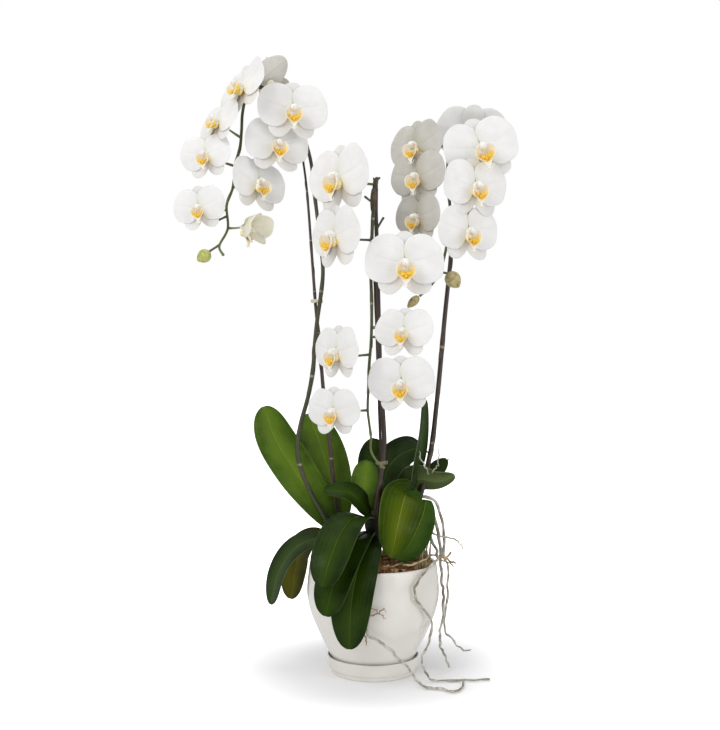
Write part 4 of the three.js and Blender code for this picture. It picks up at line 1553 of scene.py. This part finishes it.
@dataclass(frozen=True)
class Leaf:
    """One leaf: its midrib from the crown to the tip, its width and the way it faces.

    Attributes:
        node: the CAD node.
        points: the midrib.
        width: the greatest width.
        face: the way the upper side looks.
        green: its colours.
        belly: where along it the leaf is widest.
        full: how quickly it narrows towards the crown.
        blunt: how round its tip is.
    """

    node: str
    points: tuple[Triple, ...]
    width: float
    face: Triple
    green: LeafTone = LeafTone.DEEP
    belly: float = 0.62
    full: float = 1.6
    blunt: float = 2.3

    def build(self, skins: dict[LeafTone, Material]) -> None:
        """Makes and hands over the leaf.

        Args:
            skins: the finish of each green.
        """
        blade = Sheet(
            rib=Course(self.points),
            face=Vector(self.face),
            half=rounded(self.width, 0.3, self.belly, self.full, self.blunt),
            thickness=1.7,
            rows=34,
            cols=16,
            fold=0.16,
            wave=(1.2, 1.3),
            groove=0.9,
        )
        obj = dress(blade.build(f"{self.node}_blade"), skins[self.green])
        slot = Slot.BRIGHT_LEAF if self.green is LeafTone.BRIGHT else Slot.LEAF
        ship(obj, slot, self.node)


LEAVES = (
    Leaf("leaf_left_tall",
         ((-50, 0, 180), (-73, -4, 215), (-100, 0, 252), (-125, 4, 292), (-139, 10, 332)),
         54, (0.3, -1, 0.35), LeafTone.OPEN),
    Leaf("leaf_left_upright",
         ((-45, 10, 178), (-49, 24, 211), (-58, 34, 249), (-69, 38, 283), (-84, 40, 322)),
         58, (0.2, -1, 0.2), LeafTone.OPEN),
    Leaf("leaf_left_drooping",
         ((-54, 0, 168), (-78, -10, 166), (-102, -14, 151), (-119, -16, 124), (-128, -16, 86)),
         40, (-0.7, -0.75, 1), LeafTone.GREY),
    Leaf("leaf_left_low",
         ((-53, 10, 160), (-77, 26, 161), (-95, 36, 143), (-103, 40, 112), (-107, 40, 80)),
         38, (-0.3, -1, 0.6), LeafTone.OLIVE),
    Leaf("leaf_front_short",
         ((-2, -14, 198), (-10, -21, 207), (-20, -28, 219), (-35, -34, 229), (-61, -38, 231)),
         36, (0.1, -0.8, 1), blunt=1.6),
    Leaf("leaf_front_rising",
         ((-5, -8, 196), (-12, -12, 221), (-11, -12, 243), (-7, -10, 265)),
         35, (0.2, -1, 0.2), LeafTone.OPEN),
    Leaf("leaf_front_left",
         ((-6, -14, 193), (-24, -54, 200), (-39, -88, 187), (-51, -113, 160), (-60, -123, 131)),
         50, (-0.35, -1, 0.75)),
    Leaf("leaf_front_middle",
         ((-5, -16, 176), (-21, -60, 173), (-37, -90, 153), (-49, -104, 124), (-56, -109, 94)),
         46, (-0.3, -1, 0.7)),
    Leaf("leaf_front_low",
         ((-3, -18, 170), (-10, -56, 163), (-20, -84, 138), (-27, -94, 100), (-29, -95, 52)),
         51, (-0.1, -1, 0.6)),
    Leaf("leaf_back_upright",
         ((0, 0, 196), (-1, 22, 230), (-2, 34, 259), (3, 40, 289)),
         36, (0.1, -1, 0.3)),
    Leaf("leaf_centre_arching",
         ((5, 2, 190), (12, 14, 228), (22, 20, 256), (40, 22, 272), (62, 16, 280)),
         46, (-0.4, -0.9, 0.5), LeafTone.GREY),
    Leaf("leaf_right_upright",
         ((48, 6, 220), (56, 2, 258), (62, -2, 300), (65, -4, 342)),
         30, (0.9, -0.5, 0.1), LeafTone.GREY),
    Leaf("leaf_right_arching",
         ((42, 12, 212), (45, 12, 232), (59, 8, 240), (80, 0, 238), (103, -6, 245)),
         41, (0.05, 0.85, 0.5), LeafTone.UNDER, 0.42, 1.0, 1.35),
    Leaf("leaf_right_bright",
         ((43, -6, 216), (40, -24, 223), (35, -45, 212), (28, -60, 186), (21, -64, 153)),
         55, (0.05, -1, 0.5), LeafTone.BRIGHT, 0.5, 0.8, 1.6),
    Leaf("leaf_right_shaded",
         ((50, 2, 208), (55, -16, 217), (56, -30, 199), (46, -38, 171), (29, -44, 147)),
         44, (0.4, -1, 0.5), LeafTone.SHADED),
    Leaf("leaf_right_small",
         ((52, 14, 222), (70, 24, 236), (84, 26, 251), (96, 24, 263)),
         22, (0, -1, 0.6), LeafTone.GREY, blunt=1.6),
)


@dataclass(frozen=True)
class AerialRoot:
    """A group of aerial roots: the radii and the course of each, side roots dried or not."""

    node: str
    branches: tuple[tuple[tuple[float, float], tuple[Triple, ...]], ...]
    dried: bool = False

    def crooked(self, points: Sequence[Triple], seed: float) -> Course:
        """The course of a root with the small crooks it has grown.

        Args:
            points: the places it passes.
            seed: a number of its own.

        Returns:
            The crooked course.
        """
        line = Course(points)
        count = len(points) * 3
        places = []
        for i in range(count + 1):
            t = i / count
            place = line.at(t)
            crook = noise.noise_vector(Vector((0.83 * i, seed, 2.0))) * 2.4 * min(1.0, 7 * t)
            if place.z < 8:
                crook.z = 0.0
            places.append(place + crook)
        return Course(places)

    def build(self, skin: Material, brown: Material) -> None:
        """Makes and hands over the roots.

        Args:
            skin: their finish.
            brown: finish of the side roots where these are dried.
        """
        parts = []
        for i, (radii, points) in enumerate(self.branches):
            seed = 7.3 * i + len(self.node)

            def radius(t: float, even: Callable = taper(*radii), s: float = seed) -> float:
                """The root's uneven radius along it."""
                return 0.88 * even(t) * (1 + 0.34 * noise.noise(Vector((34 * t, s, 0.4))))

            tube = Tube(self.crooked(points, seed), radius, len(points) * 12, 12)
            parts.append(dress(tube.build("strand"), brown if self.dried and i else skin))
        ship(join(parts, f"{self.node}_skin"), Slot.ROOT, self.node)


ROOTS = (
    AerialRoot("root_right_floor", (((2.0, 1.4), (
        (52, 6, 196), (66, 4, 182), (75, 0, 160), (80, -22, 146), (69, -51, 140),
        (52, -70, 124), (48, -73, 111), (55, -69, 97), (69, -53, 78), (71, -41, 58),
        (67, -42, 44), (58, -62, 34), (59, -66, 21), (69, -54, 4), (87, -55, 2.4),
        (108, -51, 2.2), (127, -51, 2.2), (142, -47, 2.2),
    )),)),
    AerialRoot("root_right_hanging", (((2.8, 1.4), (
        (54, 14, 212), (71, 16, 204), (83, 15, 174), (87, 12, 146), (86, 5, 124),
        (87, -5, 107), (88, -8, 89), (86, -12, 63), (82, -20, 48), (83, -20, 36),
        (90, -10, 19), (96, -2, 2.2),
    )),)),
    AerialRoot("root_right_back", (((2.4, 1.1), (
        (54, 18, 218), (81, 24, 209), (90, 27, 178), (92, 27, 146), (97, 24, 117),
        (95, 20, 83), (91, 17, 48), (102, 18, 32), (115, 20, 20), (127, 24, 17),
    )), ((1.1, 0.7), ((71, 2, 244), (66, -6, 256), (60, -8, 267), (59, -8, 276))),
        ((1.1, 0.6), ((71, 2, 244), (77, -6, 253), (82, -6, 262), (83, -6, 280))),
    )),
    AerialRoot("root_front", (
        ((2.7, 1.5), (
            (2, -14, 168), (6, -36, 158), (3, -62, 146), (0, -79, 141), (-3, -86, 127),
            (-8, -87, 108), (-12, -87, 86), (-7, -85, 67), (5, -81, 58), (17, -78, 48),
            (29, -76, 36), (41, -72, 23), (50, -72, 9), (63, -80, 2.4), (78, -85, 2.4),
            (92, -95, 2.4), (104, -82, 2.4), (108, -56, 2.4),
        )),
        ((1.4, 0.9), ((-10, -87, 94), (-3, -89, 91), (5, -88, 92))),
        ((0.8, 0.5), ((4, -88, 92), (9, -90, 96), (12, -90, 98), (14, -90, 94))),
        ((0.8, 0.5), ((4, -88, 92), (10, -90, 90), (14, -89, 86))),
        ((0.7, 0.5), ((4, -88, 92), (1, -90, 97), (-4, -89, 98))),
        ((1.3, 0.7), ((-13, -84, 70), (-10, -83, 62), (-8, -82, 53))),
    ), dried=True),
    AerialRoot("root_right_side", (((1.6, 0.9), (
        (45, 6, 188), (66, -6, 181), (78, -10, 171), (97, -12, 169), (107, -12, 162), (113, -12, 154),
    )),)),
    AerialRoot("root_bark", (
        ((1.8, 1.3), (
            (50, -6, 168), (44, -26, 154), (32, -44, 144), (42, -58, 143), (60, -44, 146),
            (72, -26, 149), (90, -20, 146), (97, -18, 152),
        )),
        ((1.5, 1.0), ((36, -48, 144), (24, -56, 141), (12, -60, 141))),
        ((1.7, 1.2), ((80, -18, 147), (92, -19, 143), (103, -19, 138))),
        ((1.2, 0.7), ((82, -18, 143), (94, -20, 138), (101, -20, 133))),
    )),
)


# ---- blooms ------------------------------------------------------------------------------


@dataclass(frozen=True)
class Flower:
    """Where one bloom hangs and how it looks.

    Attributes:
        node: the CAD node.
        at: the heart of the flower.
        turn: where it faces, in degrees, 0 to the viewer and + to the right.
        tilt: how far it looks up, in degrees.
        size: its scale.
        roll: its turn about its own axis, in degrees.
        opened: how far it has opened.
        hangs: the end of the side stub it hangs on, if not on the stem itself.
        painted_shade: whether its petals and sepals take the grey finish, painted shade for a flower in the
            shade of the others.
    """

    node: str
    at: Triple
    turn: float
    tilt: float
    size: float = 1.0
    roll: float = 0.0
    opened: Bloom = Bloom.OPEN
    hangs: Optional[Triple] = None
    painted_shade: bool = False

    def frame(self) -> Matrix:
        """The turn and place of the flower: x to its side, y to its front, z up."""
        yaw, pitch = math.radians(self.turn), math.radians(self.tilt)
        level = math.cos(pitch)
        front = Vector((math.sin(yaw) * level, -math.cos(yaw) * level, math.sin(pitch)))
        up = (Vector((0, 0, 1)) - front * front.z).normalized()
        up = Matrix.Rotation(-math.radians(self.roll), 3, front) @ up
        side = -up.cross(front)
        turned = Matrix((side, front, up)).transposed() * self.size
        return Matrix.Translation(self.at) @ turned.to_4x4()


class FlowerPattern:
    """The parts of a flower, modelled once round its heart and then copied.

    Local millimetres: x to the flower's side, y towards its front, z up.
    """

    petal_length = 50.0
    petal_width = 64.0
    sepal_length = 46.0
    top_sepal_length = 41.0
    sepal_width = 31.0
    petal_turns = (75, -75)
    sepal_turns = (0, 143, -143)

    def __init__(self, opened: Bloom) -> None:
        """Keeps how far the flower has opened."""
        self.opened = opened

    def tepal(self, turn: float, petal: bool) -> Object:
        """One petal or sepal.

        Args:
            turn: its angle from straight up, in degrees.
            petal: whether it is one of the two broad petals.

        Returns:
            The blade.
        """
        angle = math.radians(turn)
        sepal_length = self.sepal_length if turn else self.top_sepal_length
        length = self.petal_length if petal else sepal_length
        half_open = self.opened is not Bloom.OPEN
        lean = math.radians(self.opened.value if half_open else (-3 if petal else -6))
        depth = 1.0 if petal else -1.5

        def reach(share: float, rise: float) -> Triple:
            """A place along the blade that leans forward by an angle."""
            out = share * length * math.cos(rise)
            forward = depth + share * length * math.sin(rise)
            return (out * math.sin(angle), forward, out * math.cos(angle))

        bent = lean * (1.25 if half_open else 0.4)
        width = (self.petal_width if petal else self.sepal_width) * (0.62 if half_open else 1)
        neck, belly, full = (0.14, 0.44, 0.6) if petal else (0.15, 0.5, 1.0)
        blunt = 1.4 if self.opened is Bloom.OPENING else 2.5
        sheet = Sheet(
            rib=Bow([reach(0.05, 0), reach(0.5, lean * 1.3), reach(1, bent)]),
            face=Vector((0, 1, 0)),
            half=rounded(width, neck, belly, full, blunt),
            thickness=0.8,
            rows=14 if petal else 12,
            cols=14 if petal else 8,
            cup=0.3 if half_open else -0.07,
            wave=(0.9, 0.9) if petal else (0.3, 0.7),
            groove=0.8,
        )
        return sheet.build("tepal")

    def petals(self, petal: Material, sepal: Material) -> Object:
        """The two petals and three sepals as one mesh with two finishes."""
        parts = [dress(self.tepal(turn, True), petal) for turn in self.petal_turns]
        parts += [dress(self.tepal(turn, False), sepal) for turn in self.sepal_turns]
        return join(parts, f"petals_{self.opened.name.lower()}")

    def side_lobe(self, way: int) -> Object:
        """One of the two raised side lobes that make the cup of the lip.

        Args:
            way: 1 or -1 for the side of the flower.

        Returns:
            The lobe.
        """

        def around(u: float) -> Vector:
            """Outward from the cup's middle, from its bottom up this side."""
            angle = math.radians(-88 + 158 * u)
            return Vector((way * math.cos(angle), 0, math.sin(angle)))

        shares = (0, 0.25, 0.5, 0.75, 1)
        ring = [Vector((0, 9.6 + 3.4 * u, -8.6)) + around(u) * (8.6 + 1.2 * u) for u in shares]
        lobe = Sheet(
            rib=Course(ring),
            face=lambda u: Vector((0, 0.66, 0)) - 0.75 * around(u),
            half=rounded(14.5, 0.86, 0.5),
            thickness=0.8,
            rows=14,
            cols=10,
            cup=0.2,
            wave=(0.5, 1.6),
        )
        return lobe.build("side_lobe")

    def lobes(self) -> list[Object]:
        """The lip's middle lobe, the wall of its throat and its two side lobes."""
        middle = Bow([(0, 3, -10), (0, 17, -17), (0, 14, -31)])

        def arrow(u: float) -> float:
            """Half the width of the middle lobe: broad shoulders, narrow tip."""
            return 3.8 + 5.4 * math.exp(-(((u - 0.44) / 0.24) ** 2)) - 2.6 * u * u

        lobe = Sheet(middle, Vector((0, 1, 0.9)), arrow, 0.9, 14, 8, cup=0.3, groove=0.5)
        wall = Tube(
            Course([(0, 0.4, -8.0), (0, 2.8, -8.2), (0, 5.4, -8.4)]), lambda t: 7.0 - 2.2 * t * t, 8, 16
        )
        parts = [lobe.build("middle_lobe"), wall.build("throat_wall")]
        return parts + [self.side_lobe(way) for way in (-1, 1)]

    def tendrils(self) -> list[Object]:
        """The two short white tendrils at the tip of the middle lobe."""
        parts = []
        for way in (-1, 1):
            bends = ((1.0, 14, -29.6), (3.2, 15, -30), (4.6, 14.6, -27.8), (4.2, 13.8, -25.8))
            course = Course([(way * x, y, z) for x, y, z in bends])
            parts.append(Tube(course, taper(0.6, 0.26), 12, 8).build("tendril"))
        return parts

    def throat(self) -> list[Object]:
        """The golden two-humped callus between the lobes."""
        parts = []
        for way in (-1, 1):
            bends = ((0.8, 5.0, -12.0), (3.2, 11.4, -14.0), (4.8, 15.6, -13.8))
            hump = Course([(way * x, y, z) for x, y, z in bends])
            swell = Tube(hump, lambda t: 2.5 + 0.9 * math.sin(math.pi * t) - 0.5 * t, 10, 12)
            parts.append(swell.build("hump"))
        keel = Course([(0, 5.0, -13), (0, 12.6, -16.0), (0, 15.6, -18.4)])
        return parts + [Tube(keel, taper(2.8, 1.8), 10, 12).build("keel")]

    def column(self) -> list[Object]:
        """The short white column with its rounded hood."""
        body = Course([(0, -5, -1.0), (0, 3, 0.6), (0, 9.4, 0.6), (0, 13.4, -2.0)])
        cap = Course([(0, 9.0, 0.4), (0, 12.4, -0.6), (0, 14.2, -4.0)])
        shape = Tube(body, lambda t: 4.0 + 1.5 * math.sin(math.pi * t) - 0.1 * t, 18, 16)
        lid = Tube(cap, lambda t: 4.2 + 1.1 * math.sin(math.pi * t), 10, 14)
        return [shape.build("column"), lid.build("cap")]

    def heart(self, lobe: Material, gold: Material, white: Material) -> Object:
        """The lip, its callus and the column as one mesh with three finishes."""
        parts = [dress(obj, lobe) for obj in self.lobes()]
        parts += [dress(obj, gold) for obj in self.throat()]
        parts += [dress(obj, white) for obj in self.column() + self.tendrils()]
        return join(parts, f"heart_{self.opened.name.lower()}")


@dataclass
class Blooms:
    """All the flowers, each copied from its pattern and bent a little its own way."""

    stems: dict[str, Course]
    petal: Material
    sepal: Material
    fresh_petal: Material
    # painted shade: the grey finish for the petals of flowers that others shade
    painted_shade: Material
    lobe: Material
    gold: Material
    white: Material
    stalk: Material

    def bend(self, mesh: bpy.types.Mesh, seed: float) -> None:
        """Bends a flower's petals a little, more towards their tips.

        Args:
            mesh: the copy, in the flower's own metres.
            seed: a number of its own.
        """
        for vertex in mesh.vertices:
            far = vertex.co.length / (FlowerPattern.petal_length * MM)
            wander = noise.noise_vector(vertex.co * 34 + Vector((seed, 2.1 * seed, 0.7 * seed)))
            side = math.atan2(vertex.co.x, vertex.co.z)
            lean = 2.2 * math.sin(side + 5.1 * seed) + 1.8 * math.cos(2 * side + 2.7 * seed)
            vertex.co += (wander * 2.3 + Vector((0, lean, 0))) * (far * far * MM)

    def hang(self, pattern: Object, name: str, flower: Flower, seed: Optional[float] = None) -> Object:
        """Copies a pattern to a flower's place.

        Args:
            pattern: the parts in the flower's own frame.
            name: the new piece's name.
            flower: where and how the flower hangs.
            seed: bends the copy its own way, None to leave it as it is.

        Returns:
            The piece, with its own mesh.
        """
        obj = own_copy(pattern, name)
        if seed is not None:
            self.bend(obj.data, seed)
        place = flower.frame()
        obj.data.transform(Matrix.Translation(place.translation * MM) @ place.to_3x3().to_4x4())
        return obj

    def foot_stalk(self, flower: Flower) -> Object:
        """The stalk from the back of a flower to its stem."""
        place = flower.frame()
        if flower.hangs:
            foot = Vector(flower.hangs)
        else:
            key = "stem_" + flower.node.split("_")[1]
            if key == "stem_left":
                key += "_inner" if flower.node[-2:] in ("03", "04") else "_outer"
            foot = self.stems[key].nearest(place @ Vector((0, -30, -4)))
        line = Bow([place @ Vector((0, -1, 0)), place @ Vector((0, -16, -3)), foot])
        tube = Tube(line, lambda t: 1.7 - 0.45 * math.sin(math.pi * min(1.0, t * 1.2)) ** 0.5, 16, 10)
        return tube.build(f"{flower.node}_stalk")

    def build(self, flowers: Sequence[Flower]) -> None:
        """Makes and hands over every flower.

        Args:
            flowers: where and how each hangs.
        """
        patterns = {}
        for opened in Bloom:
            pattern = FlowerPattern(opened)
            heart = pattern.heart(self.lobe, self.gold, self.white)
            fresh = opened is Bloom.HALF_OPEN
            skins = (self.fresh_petal, self.fresh_petal) if fresh else (self.petal, self.sepal)
            patterns[opened] = (pattern.petals(*skins), heart)
        for i, flower in enumerate(flowers):
            petals, heart = patterns[flower.opened]
            crown = self.hang(petals, f"{flower.node}_petals", flower, 1.37 * i + 0.4)
            # flowers shaded by others get the grey finish on petals and sepals alike: painted shade
            if flower.painted_shade:
                crown.data.materials[0] = crown.data.materials[1] = self.painted_shade
            ship(crown, Slot.PETAL, flower.node)
            ship(self.hang(heart, f"{flower.node}_lip", flower), Slot.PETAL, flower.node)
            ship(dress(self.foot_stalk(flower), self.stalk), Slot.STEM, flower.node)
        for petals, heart in patterns.values():
            bpy.data.objects.remove(petals)
            bpy.data.objects.remove(heart)


FLOWERS = (
    Flower("bloom_left_01", (-166, -2, 736), -50, 20, 0.9, roll=-22),
    Flower("bloom_left_02", (-153, 47, 752), 112, 36, 1.04, opened=Bloom.OPENING, painted_shade=True),
    Flower("bloom_left_03", (-102, 2, 709), 14, 2, 0.9, roll=2),
    Flower("bloom_left_04", (-122, 10, 667), 22, 4, 0.86, roll=4),
    Flower("bloom_left_05", (-146, 10, 617), 42, 6, 0.84, roll=8),
    Flower("bloom_left_06", (-196, -2, 693), -48, 20, 0.74, roll=-10),
    Flower("bloom_left_07", (-211, -6, 650), -20, 2, 0.7, roll=-6),
    Flower("bloom_left_08", (-219, -8, 583), -10, 0, 0.68, roll=-8),
    Flower("bloom_left_09", (-165, 4, 560), 56, -8, 0.8, opened=Bloom.HALF_OPEN),
    Flower("bloom_centre_01", (-43, -28, 617), -42, 2, 1.02, roll=-4),
    Flower("bloom_centre_02", (-48, -36, 544), -48, 0, 0.93, hangs=(-27, -24, 541)),
    Flower("bloom_centre_03", (-45, -48, 401), -46, -2, 0.8, hangs=(-24, -30, 396)),
    Flower("bloom_centre_04", (-49, -48, 329), -24, -2, 0.72, hangs=(-30, -34, 328)),
    Flower("bloom_centre_05", (38, -47, 509), 4, 0, 0.98),
    Flower("bloom_centre_06", (37, -50, 426), -22, 8, 0.74),
    Flower("bloom_centre_07", (34, -54, 363), -16, 0, 0.84, roll=-4),
    Flower("bloom_right_01", (136, -6, 658), 4, 4, 1.0, roll=-16),
    Flower("bloom_right_02", (128, -16, 608), 22, 4, 0.9),
    Flower("bloom_right_03", (119, -18, 551), 25, 2, 0.86),
    Flower("bloom_right_04", (55, 14, 665), -40, 4, 0.84, roll=-6, painted_shade=True),
    Flower("bloom_right_05", (56, 4, 624), -34, 2, 0.82, roll=-4, painted_shade=True),
    Flower("bloom_right_06", (56, 0, 572), -44, 0, 0.76, painted_shade=True),
    Flower("bloom_right_07", (131, 46, 686), 164, 18, 0.98, roll=-8),
)


# ---- studio --------------------------------------------------------------------------------


@dataclass(frozen=True)
class Studio:
    """Camera, soft lights and a plain white floor, in metres and watts.

    Attributes:
        eye: where the camera stands.
        lens: its focal length in millimetres.
        ambient: the light of the white surroundings.
        lamps: name, place, height of the point it is aimed at, side and power of each light.
    """

    eye: Triple = (-0.0165, -1.279, 0.385)
    lens: float = 50.5
    ambient: float = 0.45
    lamps: tuple[tuple[str, Triple, float, float, float], ...] = (
        ("key", (-1.1, -1.3, 1.6), 0.4, 1.2, 17),
        ("fill", (1.6, -1.2, 0.8), 0.4, 1.4, 10),
        ("top", (-0.1, 0.2, 2.2), 0.3, 1.5, 9),
    )

    def camera(self) -> None:
        """Places the camera level, looking along +Y."""
        data = bpy.data.cameras.new("view")
        data.lens = self.lens
        data.sensor_width = 36.0
        data.sensor_fit = "HORIZONTAL"
        data.clip_start, data.clip_end = 0.02, 60.0
        camera = bpy.data.objects.new("view", data)
        camera.location = self.eye
        camera.rotation_euler = (math.pi / 2, 0, 0)
        bpy.context.collection.objects.link(camera)
        bpy.context.scene.camera = camera

    def floor(self) -> None:
        """Lays the white floor, which shades into the white round it."""
        deselect()
        bpy.ops.mesh.primitive_plane_add(size=24, location=(0, 0, -0.0004))
        plane = begun("studio_floor")
        paint = Paint("studio_white")
        nodes = paint.nodes
        where = nodes.add("ShaderNodeTexCoord").outputs["Object"]
        far = nodes.add("ShaderNodeVectorMath", {0: where}, operation="LENGTH").outputs["Value"]
        seen = nodes.add("ShaderNodeLightPath").outputs["Is Camera Ray"]
        clear = nodes.times(nodes.band(far, 0.08, 0.34), seen)
        rough = nodes.line(nodes.cloud(90.0), 0.04, 0.86)
        paint.set(Base_Color=tone(248, 248, 250), Roughness=rough, Specular_IOR_Level=0.1)
        paint.set(Emission_Color=tone(255, 255, 255), Emission_Strength=nodes.line(clear, 1.0, 0.06))
        dress(plane, paint.material)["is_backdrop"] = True

    def lights(self) -> None:
        """Hangs the soft square lights."""
        for name, place, aim, size, power in self.lamps:
            data = bpy.data.lights.new(name, "AREA")
            data.shape = "SQUARE"
            data.size = size
            data.energy = power
            lamp = bpy.data.objects.new(name, data)
            lamp.location = place
            ray = Vector((0, 0, aim)) - Vector(place)
            lamp.rotation_euler = ray.to_track_quat("-Z", "Y").to_euler()
            bpy.context.collection.objects.link(lamp)

    def surroundings(self) -> None:
        """Makes the world white to the camera and dimmer as a light."""
        world = bpy.data.worlds.new("studio")
        bpy.context.scene.world = world
        world.use_nodes = True
        nodes = Nodes(world.node_tree)
        sky = next(n for n in world.node_tree.nodes if n.type == "BACKGROUND")
        sky.inputs["Color"].default_value = tone(255, 255, 255)
        seen = nodes.add("ShaderNodeLightPath").outputs["Is Camera Ray"]
        nodes.feed(sky.inputs["Strength"], nodes.line(seen, 1.0 - self.ambient, self.ambient))
        bpy.context.scene.view_settings.view_transform = "Standard"

    def build(self) -> None:
        """Makes the whole studio."""
        self.camera()
        self.floor()
        self.lights()
        self.surroundings()


# ---- the orchid's own finishes ---------------------------------------------------------------


def fibre(name: str, low: Colour, high: Colour, patch: Colour, *looks: float) -> Material:
    """A fibre finish with its share of patches, its roughness and its depth."""
    return FibreFinish(name, low, high, patch, *looks).material()


def spotted(name: str, low: Colour, high: Colour, spot: Colour, *looks: float) -> Material:
    """A spotted finish with its cover and its scale."""
    return SpottedFinish(name, low, high, spot, *looks).material()


def blooms() -> Blooms:
    """The flowers with their finishes."""
    # painted shade: the sepals' warm grey base and greyer white stand for the shade of the petals in front
    # of them
    sepal = PetalFinish("sepal_painted_shade", tone(198, 190, 178), tone(240, 239, 236), tone(214, 210, 204), 0.8)
    fresh = PetalFinish("fresh_petal", tone(200, 206, 138), tone(246, 241, 222), tone(214, 210, 176), 0.5)
    # painted shade: a greyer copy of the petal finish for flowers in the shade of others
    painted_shade = PetalFinish("painted_shade_petal", tone(184, 180, 158), tone(208, 205, 198), tone(180, 176, 168), 0.5)
    gold = spotted("golden_callus", tone(244, 190, 34), tone(255, 222, 84), tone(160, 92, 12), 0.61, 900)
    white = spotted("white_column", tone(240, 236, 228), tone(250, 248, 244), tone(206, 180, 186), 0.7, 300)
    greens = ((0.0, tone(206, 208, 180)), (0.4, tone(160, 166, 110)), (1.0, MID_GREEN))
    return Blooms(
        stems={stem.node: Course(stem.points) for stem in STEMS},
        petal=PetalFinish("white_petal").material(),
        sepal=sepal.material(),
        fresh_petal=fresh.material(),
        painted_shade=painted_shade.material(),
        lobe=LipFinish().material(),
        gold=gold,
        white=white,
        stalk=StemFinish("flower_stalk", greens, 1.0).material(),
    )


def flower_stems() -> None:
    """Builds the flower stems; the buds of the right one are older and browner."""
    dry = fibre("dry_sheath", tone(66, 54, 42), tone(104, 88, 68), tone(56, 44, 36), 0.5, 0.7, 0.3)
    old = spotted("bud_skin", tone(156, 142, 90), tone(206, 190, 138), tone(128, 92, 62), 0.66, 160)
    fresh = spotted("fresh_bud_skin", tone(166, 174, 84), tone(204, 202, 124), tone(166, 140, 84), 0.68, 160)
    greens = ((0.0, DARK_GREEN), (0.3, MID_GREEN), (1.0, tone(100, 104, 66)))
    stub = StemFinish("stub_skin", greens).material()
    for stem in STEMS:
        stem.build(dry, old if stem.node == "stem_right" else fresh, stub)


def supports() -> None:
    """Builds the cane and the ties."""
    cane = fibre("dark_cane", tone(52, 34, 30), tone(78, 54, 46), tone(40, 28, 26), 0.5, 0.5, 0.25)
    tie = fibre("pale_tie", tone(206, 200, 180), tone(236, 232, 220), tone(190, 176, 140), 0.3, 0.5, 0.2)
    worn = fibre("worn_tie", tone(108, 94, 70), tone(170, 154, 124), tone(84, 70, 50), 0.4, 0.6, 0.3)
    Supports().build(cane, tie, worn)


def crowns() -> None:
    """Builds the plant bases."""
    skin = fibre("crown_skin", tone(20, 28, 10), tone(40, 50, 20), tone(44, 34, 22), 0.6, 0.6, 0.4)
    for base in CROWNS:
        base.build(skin)


def roots(straw: Material) -> None:
    """Builds the aerial roots; the one on the bark has the finish of the old fibres."""
    pale = fibre("aerial_root", tone(150, 148, 132), tone(222, 220, 210), tone(126, 106, 80), 0.62, 0.8, 0.5)
    brown = fibre("dried_root", tone(150, 120, 98), tone(204, 176, 150), tone(112, 88, 70), 0.5, 0.8, 0.3)
    for root in ROOTS:
        root.build(straw if root.node == "root_bark" else pale, brown)


def leaves() -> None:
    """Builds the leaves."""
    skins = {}
    for green in LeafTone:
        skins[green] = LeafFinish(*green.value, under=green is LeafTone.UNDER).material()
    for leaf in LEAVES:
        leaf.build(skins)


def main() -> None:
    """Builds the studio and the orchid, piece by piece."""
    logging.basicConfig(level=logging.INFO, format="%(name)s: %(message)s")
    noise.seed_set(NOISE_SEED)
    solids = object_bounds()
    deselect()
    Studio().build()
    Effects.build()
    Pot().build(GlazeFinish().material())
    straw = fibre("old_fibres", tone(122, 100, 64), tone(214, 196, 150), tone(96, 70, 44), 0.5, 0.8, 0.4)
    GrowingMedium().build(BarkFinish().material(), straw)
    flower_stems()
    supports()
    crowns()
    roots(straw)
    leaves()
    blooms().build(FLOWERS)
    deselect()
    boxes = {"cad": solids, "visual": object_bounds()}
    {key: [list(corner) for corner in box] for key, box in boxes.items()}


if __name__ == "__main__":
    main()
